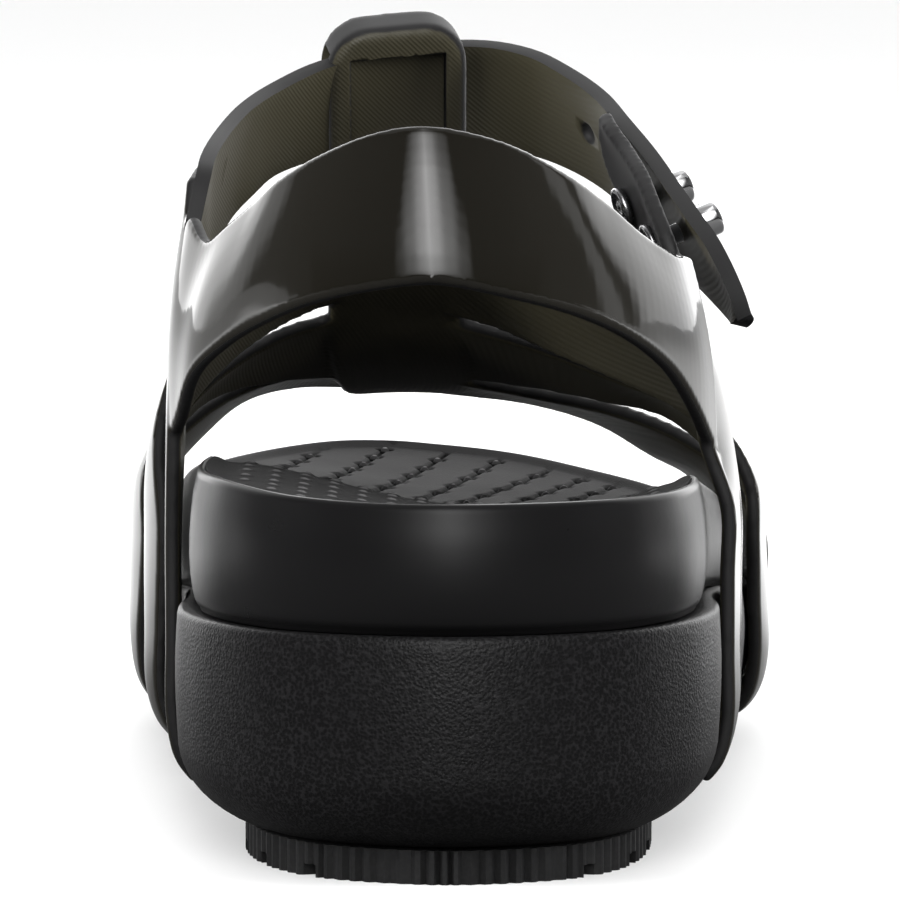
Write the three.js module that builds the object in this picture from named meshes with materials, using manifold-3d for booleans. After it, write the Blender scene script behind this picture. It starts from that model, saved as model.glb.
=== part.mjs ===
// Fisherman sandal, right shoe: a thick sole under a moulded cage of straps.
// Millimetres, +X to the outer side of the foot, +Y to the toe, +Z up.
import * as THREE from "three";
import { mergeVertices } from "three/addons/utils/BufferGeometryUtils.js";
import Module from "manifold-3d";

const wasm = await Module();
wasm.setup();

// Driving sizes of the sole
const soleLength = 260;
const heelWidth = 80;
const ballWidth = 98;
const heelStack = 55.6;
const treadThickness = 5;
const treadInset = 10;
const foamCorner = 12;
const foamCornerReach = 14;
const footbedInset = 2.3;
const footbedCup = 1.6;
const rimWidth = 4;
const seatGap = 0.3;

// Tread pattern
const grooveDepth = 1.8;
const grooveWidth = 3;
const groovePitch = 13;
const flutePitch = 3;
const fluteDepth = 0.8;

// Driving sizes of the cage
const instepRise = 64;
const wall = 2.3;
const edgeRound = 0.7;
const sideClearance = 0.4;
const legTuck = 0.55;
const strapCrown = 0.5;
const bandCrown = 1.2;

// Keeper loop on the central strap
const loopWidth = 22.3;
const loopHeight = 24.5;
const loopDepth = 7.8;
const loopCorner = 7;
const loopTop = 4.1;
const slotHeight = 18.8;
const slotDepth = 3.6;
const windowWidth = 15.2;
const windowHeight = 16;

// Studs and their discs
const headDiameter = 6;
const headHeight = 3.2;
const shankDiameter = 3;
const discDiameter = 6.6;
const discThickness = 1.2;
const studHoleClearance = 0.3;
const adjustHoleDiameter = 3.6;

// Steps of the curved surfaces
const outlineSteps = 28;
const roundSegments = 12;

function table(names, values) {
  const keys = names.split(" ");
  return values.map((row) => Object.fromEntries(keys.map((key, index) => [key, row[index]])));
}

// Sole outline: medial and lateral half widths as shares of the local half width, along the sole's length
const outlineRows = table("along medial lateral", [
  [0.03, 0.59, 0.59],
  [0.08, 0.86, 0.85],
  [0.14, 0.985, 0.965],
  [0.2, 1.012, 1.0],
  [0.27, 1.0, 1.005],
  [0.34, 1.02, 1.05],
  [0.43, 1.045, 1.06],
  [0.52, 1.0, 1.02],
  [0.6, 1.0, 1.0],
  [0.68, 1.01, 0.985],
  [0.76, 0.995, 0.915],
  [0.84, 0.93, 0.77],
  [0.91, 0.79, 0.53],
  [0.96, 0.62, 0.28],
  [0.99, 0.43, 0.0],
]);
const toeTipAcross = -0.2;

// Side profile: heights as shares of the heel stack
const profileRows = table("along top seam spring", [
  [0.0, 1.0, 0.665, 0.0],
  [0.12, 0.99, 0.655, 0.0],
  [0.25, 0.962, 0.63, 0.0],
  [0.38, 0.867, 0.59, 0.019],
  [0.5, 0.743, 0.52, 0.01],
  [0.62, 0.657, 0.473, 0.0],
  [0.75, 0.638, 0.463, 0.0],
  [0.88, 0.666, 0.49, 0.057],
  [1.0, 0.724, 0.547, 0.172],
]);

// A smooth height between the rows of the side profile
function profile(column, y) {
  const along = THREE.MathUtils.clamp(y / soleLength, 0, 1);
  const last = profileRows.length - 1;
  const next = Math.max(1, profileRows.findIndex((row) => row.along >= along));
  const value = (index) => profileRows[THREE.MathUtils.clamp(index, 0, last)];
  const slope = (index) => {
    const before = value(index - 1);
    const after = value(index + 1);
    return (after[column] - before[column]) / (after.along - before.along);
  };
  const start = value(next - 1);
  const end = value(next);
  const span = end.along - start.along;
  const t = (along - start.along) / span;
  const rise = (2 * t ** 3 - 3 * t ** 2 + 1) * start[column] + (3 * t ** 2 - 2 * t ** 3) * end[column];
  const lean = (t ** 3 - 2 * t ** 2 + t) * slope(next - 1) + (t ** 3 - t ** 2) * slope(next);
  return heelStack * (rise + lean * span);
}

const topHeight = (y) => profile("top", y);
const seamHeight = (y) => profile("seam", y);
const springHeight = (y) => Math.max(0, profile("spring", y));
const foamBottom = (y) => treadThickness + springHeight(y);

// Half the width that shares across the sole are taken of: the heel's, then the ball's
function spread(along) {
  const blend = THREE.MathUtils.clamp((along - 0.35) / 0.25, 0, 1);
  return THREE.MathUtils.lerp(heelWidth, ballWidth, blend) / 2;
}

function sideCurve(side) {
  const column = side < 0 ? "medial" : "lateral";
  const heelPoint = new THREE.Vector3(0, 0, 0);
  const toePoint = new THREE.Vector3(toeTipAcross * spread(1), soleLength, 0);
  const points = outlineRows.map((row) => {
    return new THREE.Vector3(side * row[column] * spread(row.along), row.along * soleLength, 0);
  });
  const otherColumn = side < 0 ? "lateral" : "medial";
  const mirror = (row) => new THREE.Vector3(-side * row[otherColumn] * spread(row.along), row.along * soleLength, 0);
  const before = mirror(outlineRows[0]);
  const after = mirror(outlineRows[outlineRows.length - 1]);
  const curve = new THREE.CatmullRomCurve3([before, heelPoint, ...points, toePoint, after], false, "centripetal");
  const spans = points.length + 3;
  return { curve, from: 1 / spans, to: (spans - 1) / spans };
}

const sides = { medial: sideCurve(-1), lateral: sideCurve(1) };

// A point of the sole's outline with its outward direction; step runs from 0 at the heel to 1 at the toe
function outlinePoint(side, step) {
  const { curve, from, to } = side < 0 ? sides.medial : sides.lateral;
  const t = THREE.MathUtils.lerp(from, to, step);
  const point = curve.getPoint(t);
  const tangent = curve.getTangent(t);
  const outward = new THREE.Vector3(tangent.y, -tangent.x, 0).multiplyScalar(side);
  return { point, outward };
}

// The point of one side of the outline at a given distance along the sole
function outlineAt(side, y) {
  let low = 0;
  let high = 1;
  for (let pass = 0; pass < 30; pass += 1) {
    const middle = (low + high) / 2;
    if (outlinePoint(side, middle).point.y < y) low = middle;
    else high = middle;
  }
  return outlinePoint(side, (low + high) / 2);
}

function geometryFrom(positions, triangles) {
  const geometry = new THREE.BufferGeometry();
  geometry.setAttribute("position", new THREE.Float32BufferAttribute(positions, 3));
  geometry.setIndex(triangles);
  return geometry;
}

// A closed geometry with merged vertices, no thin triangles and its faces pointing out
function closed(geometry) {
  geometry.deleteAttribute("normal");
  geometry.deleteAttribute("uv");
  const merged = mergeVertices(geometry, 0.001);
  const index = merged.index.array;
  const position = merged.attributes.position;
  const kept = [];
  let volume = 0;
  const [a, b, c] = [new THREE.Vector3(), new THREE.Vector3(), new THREE.Vector3()];
  for (let i = 0; i < index.length; i += 3) {
    const corners = [index[i], index[i + 1], index[i + 2]];
    if (new Set(corners).size === 3) {
      kept.push(...corners);
      a.fromBufferAttribute(position, corners[0]);
      b.fromBufferAttribute(position, corners[1]);
      c.fromBufferAttribute(position, corners[2]);
      volume += a.dot(b.cross(c));
    }
  }
  if (volume < 0) {
    for (let i = 0; i < kept.length; i += 3) {
      [kept[i], kept[i + 1]] = [kept[i + 1], kept[i]];
    }
  }
  merged.setIndex(kept);
  return merged;
}

function toSolid(geometry) {
  const ready = closed(geometry);
  const mesh = new wasm.Mesh({
    numProp: 3,
    vertProperties: new Float32Array(ready.attributes.position.array),
    triVerts: new Uint32Array(ready.index.array),
  });
  return new wasm.Manifold(mesh);
}

function fromSolid(solid) {
  const { vertProperties, triVerts } = solid.getMesh();
  return closed(geometryFrom(Array.from(vertProperties), Array.from(triVerts)));
}

// A sole layer from rings: reach 0 is the middle line, reach 1 the outline less its inset
function layer(rings) {
  const positions = [];
  const triangles = [];
  const loop = 2 * outlineSteps;
  rings.forEach(({ reach, inset, height }) => {
    for (let i = 0; i < loop; i += 1) {
      const side = i <= outlineSteps ? 1 : -1;
      const step = (i <= outlineSteps ? i : loop - i) / outlineSteps;
      const edges = [-1, 1].map((way) => {
        const { point, outward } = outlinePoint(way, step);
        return point.addScaledVector(outward, -inset);
      });
      const middle = edges[0].clone().lerp(edges[1], 0.5);
      const place = middle.lerp(side < 0 ? edges[0] : edges[1], reach);
      positions.push(place.x, place.y, height(place.y));
    }
  });
  for (let ring = 0; ring < rings.length - 1; ring += 1) {
    for (let i = 0; i < loop; i += 1) {
      const a = ring * loop + i;
      const b = ring * loop + ((i + 1) % loop);
      triangles.push(a, b, a + loop, b, b + loop, a + loop);
    }
  }
  return geometryFrom(positions, triangles);
}

// Rings around a rounded lower corner of the foam
function cornerRings(steps) {
  return Array.from({ length: steps }, (_, index) => {
    const angle = ((index + 1) / (steps + 1)) * (Math.PI / 2);
    const inset = foamCornerReach * (1 - Math.sin(angle));
    const lift = foamCorner * (1 - Math.cos(angle));
    return { reach: 1, inset, height: (y) => foamBottom(y) + lift };
  });
}

function midsoleGeometry() {
  const lip = 0.8;
  return layer([
    { reach: 0, inset: foamCornerReach, height: foamBottom },
    { reach: 1, inset: foamCornerReach, height: foamBottom },
    ...cornerRings(3),
    { reach: 1, inset: 0, height: (y) => foamBottom(y) + foamCorner },
    { reach: 1, inset: 0, height: (y) => seamHeight(y) - lip },
    { reach: 1, inset: lip, height: seamHeight },
    { reach: 1, inset: footbedInset + lip, height: (y) => seamHeight(y) - lip / 2 },
    { reach: 0, inset: footbedInset + lip, height: (y) => seamHeight(y) - lip / 2 },
  ]);
}

function footbedGeometry() {
  const groove = 1.1;
  const belly = footbedInset - 0.5;
  const seat = (y) => seamHeight(y) - 0.4 + seatGap;
  const waist = (share) => (y) => THREE.MathUtils.lerp(seamHeight(y) + groove, topHeight(y), share);
  const cupInset = footbedInset + 1.6 + rimWidth;
  return layer([
    { reach: 0, inset: footbedInset + groove, height: seat },
    { reach: 1, inset: footbedInset + groove, height: seat },
    { reach: 1, inset: footbedInset + 0.6, height: waist(0) },
    { reach: 1, inset: belly, height: waist(0.35) },
    { reach: 1, inset: belly + 0.4, height: waist(0.7) },
    { reach: 1, inset: footbedInset + 0.6, height: waist(0.94) },
    { reach: 1, inset: footbedInset + 1.6, height: topHeight },
    { reach: 1, inset: cupInset, height: (y) => topHeight(y) - footbedCup },
    { reach: 0.5, inset: cupInset, height: (y) => topHeight(y) - footbedCup - 0.4 },
    { reach: 0, inset: cupInset, height: (y) => topHeight(y) - footbedCup - 0.4 },
  ]);
}

// Three-sided bars around the tread's edge, which cut its flutes
function fluteCutters() {
  const cutters = [];
  for (const side of [-1, 1]) {
    let run = 0;
    let previous = outlinePoint(side, 0).point;
    for (let step = 0.0025; step < 0.9975; step += 0.0025) {
      const { point, outward } = outlinePoint(side, step);
      run += point.distanceTo(previous);
      previous = point.clone();
      if (run >= flutePitch) {
        run -= flutePitch;
        const bar = new THREE.CylinderGeometry(fluteDepth, fluteDepth, 4 * treadThickness, 3);
        bar.rotateX(Math.PI / 2);
        const edge = point.addScaledVector(outward, -treadInset + 0.1);
        bar.rotateZ(Math.atan2(outward.y, outward.x));
        bar.translate(edge.x, edge.y, springHeight(edge.y));
        cutters.push(toSolid(bar));
      }
    }
  }
  return cutters;
}

// Bars under the sole that part its lugs, bowed towards the toe
function grooveCutters() {
  const cutters = [];
  const bow = 0.3;
  const heelRun = [0.095, 0.33];
  const foreRun = [0.43, 0.93];
  for (const [start, end] of [heelRun, foreRun]) {
    for (let y = start * soleLength; y < end * soleLength; y += groovePitch) {
      for (const side of [-1, 1]) {
        const bar = new THREE.BoxGeometry(ballWidth / 2 + 2, grooveWidth, 2 * grooveDepth);
        bar.translate(side * (ballWidth / 4), 0, 0);
        bar.rotateZ(-side * bow);
        const middle = (outlineAt(-1, y).point.x + outlineAt(1, y).point.x) / 2;
        const lift = (springHeight(y) + springHeight(y - bow * ballWidth / 2)) / 2;
        bar.translate(middle, y, lift);
        cutters.push(toSolid(bar));
      }
    }
  }
  return cutters;
}

function outsoleGeometry() {
  const plate = toSolid(layer([
    { reach: 0, inset: treadInset, height: springHeight },
    { reach: 1, inset: treadInset, height: springHeight },
    { reach: 1, inset: treadInset, height: (y) => foamBottom(y) - seatGap },
    { reach: 0, inset: treadInset, height: (y) => foamBottom(y) - seatGap },
  ]));
  const cutters = wasm.Manifold.union([...fluteCutters(), ...grooveCutters()]);
  return fromSolid(plate.subtract(cutters));
}

// A place on the cage's outer skin. Across is a share of the local half width and level a share of the instep's
// rise above the footbed; below 0 it runs down the sole's side, where the skin keeps its clearance to the foam.
function place(along, across, level) {
  const y = along * soleLength;
  if (level > 0) {
    return new THREE.Vector3(across * spread(along), y, topHeight(y) + level * instepRise);
  }
  const side = Math.sign(across);
  const z = THREE.MathUtils.lerp(topHeight(y), foamBottom(y), -level);
  const height = Math.min(foamCorner, z - foamBottom(y));
  const tuck = legTuck * foamCornerReach * (1 - Math.sqrt(1 - (1 - height / foamCorner) ** 2));
  const { point, outward } = outlineAt(side, y);
  const skin = point.addScaledVector(outward, sideClearance + wall - tuck);
  return new THREE.Vector3(skin.x, skin.y, z);
}

const strapColumns = "aAlong aAcross aLevel bAlong bAcross bLevel";

// Heel band: a is its top edge and b its lower edge, from the medial panel round to the lateral one
const heelBandRows = table(strapColumns, [
  [0.262, -1.0, 0.628, 0.262, -1.058, 0.06],
  [0.231, -0.972, 0.602, 0.238, -1.05, 0.095],
  [0.2, -0.915, 0.553, 0.215, -1.025, 0.13],
  [0.165, -0.815, 0.6, 0.173, -0.97, 0.235],
  [0.135, -0.715, 0.655, 0.142, -0.875, 0.3],
  [0.108, -0.62, 0.71, 0.108, -0.733, 0.362],
  [0.085, -0.465, 0.77, 0.065, -0.512, 0.43],
  [0.069, -0.275, 0.818, 0.046, -0.275, 0.466],
  [0.063, -0.088, 0.835, 0.04, -0.05, 0.48],
  [0.073, 0.185, 0.8, 0.05, 0.225, 0.447],
  [0.1, 0.418, 0.725, 0.077, 0.45, 0.405],
  [0.131, 0.563, 0.658, 0.115, 0.65, 0.345],
  [0.165, 0.713, 0.575, 0.162, 0.813, 0.26],
  [0.2, 0.828, 0.527, 0.204, 0.925, 0.152],
  [0.246, 0.905, 0.515, 0.254, 1.008, 0.045],
]);

// Side panels with their rear legs: a is the rear edge and b the front edge, from the top down
const medialPanelRows = table(strapColumns, [
  [0.254, -0.99, 0.697, 0.323, -0.882, 0.795],
  [0.246, -1.005, 0.58, 0.331, -0.938, 0.645],
  [0.238, -1.037, 0.405, 0.338, -1.012, 0.47],
  [0.235, -1.055, 0.2, 0.342, -1.058, 0.285],
  [0.238, -1.063, 0.06, 0.342, -1.07, 0.1],
  [0.244, -1, -0.2, 0.342, -1, -0.2],
  [0.246, -1, -0.5, 0.338, -1, -0.5],
  [0.248, -1, -0.76, 0.331, -1, -0.76],
  [0.25, -1, -0.89, 0.327, -1, -0.89],
  [0.252, -1, -0.97, 0.325, -1, -0.97],
]);
const lateralPanelRows = table(strapColumns, [
  [0.223, 0.872, 0.492, 0.323, 0.862, 0.444],
  [0.227, 0.902, 0.384, 0.338, 0.955, 0.361],
  [0.231, 0.947, 0.228, 0.346, 1.03, 0.259],
  [0.24, 0.982, 0.077, 0.35, 1.085, 0.12],
  [0.244, 1, -0.1, 0.35, 1, -0.1],
  [0.246, 1, -0.3, 0.35, 1, -0.3],
  [0.248, 1, -0.55, 0.346, 1, -0.55],
  [0.25, 1, -0.78, 0.34, 1, -0.78],
  [0.251, 1, -0.9, 0.335, 1, -0.9],
  [0.252, 1, -0.97, 0.331, 1, -0.97],
]);

// Ankle strap: a is its upper edge and b its lower edge, from the medial panel through the loop to its free end
const ankleStrapRows = table(strapColumns, [
  [0.235, -1.005, 0.6, 0.262, -1.035, 0.4],
  [0.252, -0.965, 0.705, 0.292, -0.99, 0.48],
  [0.273, -0.935, 0.76, 0.323, -0.95, 0.553],
  [0.323, -0.865, 0.855, 0.362, -0.88, 0.652],
  [0.354, -0.79, 0.919, 0.388, -0.784, 0.719],
  [0.385, -0.66, 0.983, 0.415, -0.68, 0.788],
  [0.415, -0.475, 1.055, 0.444, -0.482, 0.85],
  [0.435, -0.209, 1.108, 0.461, -0.205, 0.88],
  [0.438, 0.109, 1.123, 0.465, 0.09, 0.89],
  [0.421, 0.303, 1.087, 0.452, 0.286, 0.867],
  [0.394, 0.457, 1.02, 0.425, 0.457, 0.812],
  [0.361, 0.594, 0.944, 0.392, 0.627, 0.731],
  [0.325, 0.685, 0.861, 0.36, 0.755, 0.644],
  [0.288, 0.78, 0.77, 0.323, 0.86, 0.551],
  [0.254, 0.86, 0.684, 0.29, 0.94, 0.475],
  [0.225, 0.932, 0.612, 0.258, 1.0, 0.416],
  [0.204, 0.99, 0.558, 0.225, 1.045, 0.375],
  [0.181, 1.045, 0.489, 0.194, 1.072, 0.358],
  [0.16, 1.085, 0.425, 0.171, 1.087, 0.354],
  [0.151, 1.1, 0.39, 0.157, 1.098, 0.362],
]);

// Pointed tab under the strap's free end: a is its rear edge and b its front edge, from the tip down
const tabRows = table(strapColumns, [
  [0.329, 0.585, 0.873, 0.335, 0.572, 0.852],
  [0.313, 0.625, 0.837, 0.336, 0.572, 0.8],
  [0.296, 0.675, 0.789, 0.331, 0.602, 0.731],
  [0.269, 0.735, 0.719, 0.315, 0.67, 0.633],
  [0.24, 0.79, 0.626, 0.311, 0.762, 0.545],
  [0.222, 0.838, 0.548, 0.319, 0.862, 0.447],
  [0.219, 0.9, 0.416, 0.331, 0.945, 0.356],
]);

// Central strap: a is its medial edge and b its lateral edge, from the loop down to the toe strap
const centralStrapRows = table(strapColumns, [
  [0.464, -0.46, 0.968, 0.464, 0.045, 0.968],
  [0.471, -0.458, 0.88, 0.471, 0.045, 0.88],
  [0.496, -0.445, 0.748, 0.496, 0.045, 0.748],
  [0.535, -0.43, 0.617, 0.535, 0.045, 0.617],
  [0.577, -0.413, 0.527, 0.577, 0.047, 0.527],
  [0.635, -0.4, 0.438, 0.635, 0.06, 0.438],
  [0.7, -0.388, 0.365, 0.7, 0.08, 0.365],
  [0.745, -0.37, 0.326, 0.745, 0.065, 0.326],
  [0.765, -0.34, 0.312, 0.765, 0.04, 0.312],
]);

// Cross straps: a is the rear edge and b the front edge, from the central strap out and down to the sole
const medialRearStrapRows = table(strapColumns, [
  [0.492, -0.31, 0.773, 0.565, -0.336, 0.577],
  [0.461, -0.545, 0.681, 0.531, -0.559, 0.505],
  [0.419, -0.776, 0.566, 0.492, -0.787, 0.39],
  [0.388, -0.954, 0.434, 0.465, -0.964, 0.253],
  [0.377, -1.06, 0.284, 0.461, -1.06, 0.14],
  [0.377, -1.12, 0.128, 0.463, -1.09, 0.06],
  [0.38, -1, -0.15, 0.465, -1, -0.15],
  [0.388, -1, -0.5, 0.462, -1, -0.5],
  [0.395, -1, -0.76, 0.457, -1, -0.76],
  [0.398, -1, -0.89, 0.455, -1, -0.89],
  [0.4, -1, -0.97, 0.453, -1, -0.97],
]);
const lateralRearStrapRows = table(strapColumns, [
  [0.488, -0.067, 0.77, 0.573, -0.02, 0.54],
  [0.465, 0.181, 0.683, 0.546, 0.177, 0.487],
  [0.435, 0.395, 0.595, 0.5, 0.396, 0.398],
  [0.396, 0.612, 0.503, 0.435, 0.642, 0.292],
  [0.358, 0.795, 0.425, 0.373, 0.869, 0.197],
  [0.323, 0.925, 0.358, 0.331, 1.012, 0.122],
]);
const medialMiddleStrapRows = table(strapColumns, [
  [0.585, -0.33, 0.54, 0.704, -0.347, 0.376],
  [0.561, -0.568, 0.484, 0.665, -0.592, 0.372],
  [0.538, -0.79, 0.383, 0.631, -0.786, 0.342],
  [0.529, -0.96, 0.26, 0.608, -0.9, 0.28],
  [0.531, -1.06, 0.106, 0.615, -1.035, 0.12],
  [0.54, -1, -0.1, 0.635, -1, -0.1],
  [0.555, -1, -0.35, 0.655, -1, -0.35],
  [0.57, -1, -0.6, 0.66, -1, -0.6],
  [0.58, -1, -0.8, 0.66, -1, -0.8],
  [0.585, -1, -0.9, 0.66, -1, -0.9],
  [0.588, -1, -0.97, 0.66, -1, -0.97],
]);
const lateralMiddleStrapRows = table(strapColumns, [
  [0.58, -0.04, 0.53, 0.7, 0, 0.38],
  [0.561, 0.288, 0.456, 0.677, 0.265, 0.359],
  [0.527, 0.56, 0.369, 0.627, 0.53, 0.326],
  [0.492, 0.81, 0.287, 0.577, 0.765, 0.273],
  [0.473, 0.98, 0.197, 0.561, 0.945, 0.156],
  [0.473, 1.09, 0.06, 0.567, 1.045, 0.06],
  [0.479, 1, -0.15, 0.585, 1, -0.15],
  [0.5, 1, -0.4, 0.61, 1, -0.4],
  [0.52, 1, -0.65, 0.63, 1, -0.65],
  [0.533, 1, -0.82, 0.64, 1, -0.82],
  [0.54, 1, -0.91, 0.645, 1, -0.91],
  [0.545, 1, -0.97, 0.648, 1, -0.97],
]);
const medialToeStrapRows = table(strapColumns, [
  [0.696, -0.286, 0.388, 0.788, -0.286, 0.318],
  [0.677, -0.53, 0.386, 0.788, -0.551, 0.318],
  [0.654, -0.735, 0.341, 0.796, -0.735, 0.275],
  [0.623, -0.908, 0.248, 0.804, -0.88, 0.18],
  [0.6, -1.04, 0.12, 0.804, -0.995, 0.075],
  [0.597, -1, -0.1, 0.797, -1, -0.1],
  [0.6, -1, -0.35, 0.782, -1, -0.35],
  [0.607, -1, -0.6, 0.765, -1, -0.6],
  [0.613, -1, -0.8, 0.752, -1, -0.8],
  [0.617, -1, -0.9, 0.745, -1, -0.9],
  [0.62, -1, -0.97, 0.74, -1, -0.97],
]);
const lateralToeStrapRows = table(strapColumns, [
  [0.704, -0.04, 0.373, 0.79, -0.04, 0.303],
  [0.685, 0.312, 0.328, 0.788, 0.286, 0.275],
  [0.654, 0.59, 0.287, 0.794, 0.53, 0.215],
  [0.627, 0.8, 0.222, 0.802, 0.71, 0.13],
  [0.605, 0.98, 0.11, 0.802, 0.86, 0.065],
  [0.597, 1, -0.1, 0.797, 1, -0.1],
  [0.6, 1, -0.35, 0.782, 1, -0.35],
  [0.605, 1, -0.6, 0.765, 1, -0.6],
  [0.61, 1, -0.8, 0.752, 1, -0.8],
  [0.613, 1, -0.9, 0.745, 1, -0.9],
  [0.615, 1, -0.97, 0.74, 1, -0.97],
]);

// One strap as a closed sweep between two smooth edges, with rounded edges and a slightly bulging face.
// Its middle line has places of its own, so that a wide leg follows the sole's curve.
function ribbon(rows, steps, middlePoints, crown) {
  const smooth = (pick) => new THREE.CatmullRomCurve3(rows.map(pick), false, "centripetal");
  const half = (row, name) => (row[`a${name}`] + row[`b${name}`]) / 2;
  const a = smooth((row) => place(row.aAlong, row.aAcross, row.aLevel));
  const b = smooth((row) => place(row.bAlong, row.bAcross, row.bLevel));
  const m = smooth((row) => place(half(row, "Along"), half(row, "Across"), half(row, "Level")));
  const inside = (y) => new THREE.Vector3(0, THREE.MathUtils.clamp(y, 0.25 * soleLength, soleLength), heelStack);
  const station = (t) => {
    const [start, middle, end] = [a, m, b].map((curve) => curve.getPoint(t));
    const [startWay, middleWay, endWay] = [a, m, b].map((curve) => curve.getTangent(t));
    const through = (share, first, second, third) => {
      return first.clone().multiplyScalar((1 - share) * (1 - 2 * share))
        .addScaledVector(second, 4 * share * (1 - share))
        .addScaledVector(third, share * (2 * share - 1));
    };
    const skin = (share) => through(share, start, middle, end);
    const normal = (share) => {
      const way = through(share, startWay, middleWay, endWay);
      return way.cross(skin(share + 0.01).sub(skin(share - 0.01))).normalize();
    };
    return { skin, normal, width: start.distanceTo(end), facing: normal(0.5).dot(middle.clone().sub(inside(middle.y))) };
  };
  const stations = Array.from({ length: steps + 1 }, (_, index) => station(index / steps));
  const sign = Math.sign(stations.reduce((sum, { facing }) => sum + facing, 0));
  const sunk = ({ skin, normal }, share, depth) => {
    return skin(share).addScaledVector(normal(share), sign * (crown * Math.sin(Math.PI * share) - depth));
  };
  const outer = Array.from({ length: middlePoints }, (_, index) => (index + 1) / (middlePoints + 1));
  const positions = [];
  stations.forEach((each) => {
    const lead = Math.min(0.3, edgeRound / each.width);
    const face = [[0, edgeRound], [lead, 0], ...outer.map((share) => [share, 0]), [1 - lead, 0], [1, edgeRound]];
    const back = [[1, wall], ...[...outer].reverse().map((share) => [share, wall]), [0, wall]];
    [...face, ...back].forEach(([share, depth]) => positions.push(...sunk(each, share, depth).toArray()));
  });
  const count = 2 * middlePoints + 6;
  const triangles = [];
  for (let i = 0; i < steps; i += 1) {
    for (let j = 0; j < count; j += 1) {
      const near = i * count + j;
      const far = i * count + ((j + 1) % count);
      triangles.push(near, far, near + count, far, far + count, near + count);
    }
  }
  const last = steps * count;
  for (let j = 1; j < count - 1; j += 1) {
    triangles.push(0, j + 1, j, last, last + j, last + j + 1);
  }
  const middleAt = (share) => {
    const each = station(share);
    return { point: sunk(each, 0.5, 0), normal: each.normal(0.5).multiplyScalar(sign) };
  };
  return { geometry: geometryFrom(positions, triangles), middleAt };
}

const crossStraps = [
  [medialRearStrapRows, 20],
  [lateralRearStrapRows, 8],
  [medialMiddleStrapRows, 20],
  [lateralMiddleStrapRows, 22],
  [medialToeStrapRows, 20],
  [lateralToeStrapRows, 20],
].map(([rows, steps]) => ribbon(rows, steps, 1, strapCrown));
const heelBand = ribbon(heelBandRows, 28, 3, bandCrown);
const panels = [medialPanelRows, lateralPanelRows].map((rows) => ribbon(rows, 18, 1, strapCrown));
const tab = ribbon(tabRows, 12, 1, strapCrown);
const centralStrap = ribbon(centralStrapRows, 16, 1, strapCrown);
const ankleStrap = ribbon(ankleStrapRows, 38, 1, strapCrown);

// Frame of the loop: its middle on the ankle strap's skin, up along the strap's width and out of its face
function loopFrame() {
  const upper = place(0.435, -0.209, 1.108);
  const lower = place(0.461, -0.205, 0.88);
  const up = upper.clone().sub(lower).normalize();
  const right = new THREE.Vector3(-1, 0, 0);
  const out = new THREE.Vector3().crossVectors(right, up);
  const middle = upper.clone().lerp(lower, 0.5);
  return new THREE.Matrix4().makeBasis(right, up, out).setPosition(middle);
}

function roundedBlock(width, bottom, top, radius, from, to) {
  const shape = new THREE.Shape();
  const half = width / 2;
  shape.moveTo(-half, bottom);
  shape.lineTo(half, bottom);
  shape.lineTo(half, top - radius);
  shape.absarc(half - radius, top - radius, radius, 0, Math.PI / 2, false);
  shape.lineTo(-half + radius, top);
  shape.absarc(-half + radius, top - radius, radius, Math.PI / 2, Math.PI, false);
  const round = 0.6;
  const block = new THREE.ExtrudeGeometry(shape, {
    depth: to - from - 2 * round,
    bevelEnabled: true,
    bevelSize: round,
    bevelThickness: round,
    bevelOffset: -round,
    bevelSegments: 1,
    curveSegments: 6,
  });
  block.translate(0, 0, from + round);
  return block;
}

function keeperSolid() {
  const frame = loopFrame();
  const outFace = (loopDepth - slotDepth) / 2 + 0.9;
  const top = slotHeight / 2 + loopTop;
  const block = roundedBlock(loopWidth, top - loopHeight, top, loopCorner, outFace - loopDepth, outFace);
  const slotMiddle = -wall / 2 + strapCrown / 2;
  const slot = new THREE.BoxGeometry(2 * loopWidth, slotHeight, slotDepth);
  slot.translate(0, 0, slotMiddle);
  const windowCut = new THREE.BoxGeometry(windowWidth, windowHeight, loopDepth);
  windowCut.translate(0, (slotHeight - windowHeight) / 2 - 0.6, slotMiddle - loopDepth / 2);
  [block, slot, windowCut].forEach((geometry) => geometry.applyMatrix4(frame));
  return toSolid(block)
    .add(toSolid(centralStrap.geometry))
    .subtract(toSolid(slot))
    .subtract(toSolid(windowCut));
}

// Where the studs stand along the ankle strap, and where its spare hole is
const studPlaces = { front: 0.674, rear: 0.732 };
const spareHolePlace = 0.558;

function alignedTo(geometry, point, direction) {
  const turn = new THREE.Quaternion().setFromUnitVectors(new THREE.Vector3(0, 0, 1), direction);
  geometry.applyQuaternion(turn);
  geometry.translate(point.x, point.y, point.z);
  return geometry;
}

function punch(place, diameter) {
  const { point, normal } = ankleStrap.middleAt(place);
  const bar = new THREE.CylinderGeometry(diameter / 2, diameter / 2, 10 * wall, roundSegments);
  bar.rotateX(Math.PI / 2);
  return toSolid(alignedTo(bar, point, normal));
}

function upperGeometry() {
  const parts = [heelBand, ...panels, tab, ankleStrap, ...crossStraps].map(({ geometry }) => toSolid(geometry));
  const cage = wasm.Manifold.union([...parts, keeperSolid()]);
  const studHole = shankDiameter + 2 * studHoleClearance;
  const holes = [
    punch(studPlaces.front, studHole),
    punch(studPlaces.rear, studHole),
    punch(spareHolePlace, adjustHoleDiameter),
  ];
  return fromSolid(cage.subtract(wasm.Manifold.union(holes)));
}

// Depth under the strap's skin at which the tab's inner face lies behind a stud
function tabDepth({ point, normal }) {
  const tabMesh = new THREE.Mesh(tab.geometry, new THREE.MeshBasicMaterial({ side: THREE.DoubleSide }));
  const start = point.clone().addScaledVector(normal, wall);
  const ray = new THREE.Raycaster(start, normal.clone().negate(), 0, 12 * wall);
  const hits = ray.intersectObject(tabMesh);
  return hits[hits.length - 1].distance - wall;
}

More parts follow.
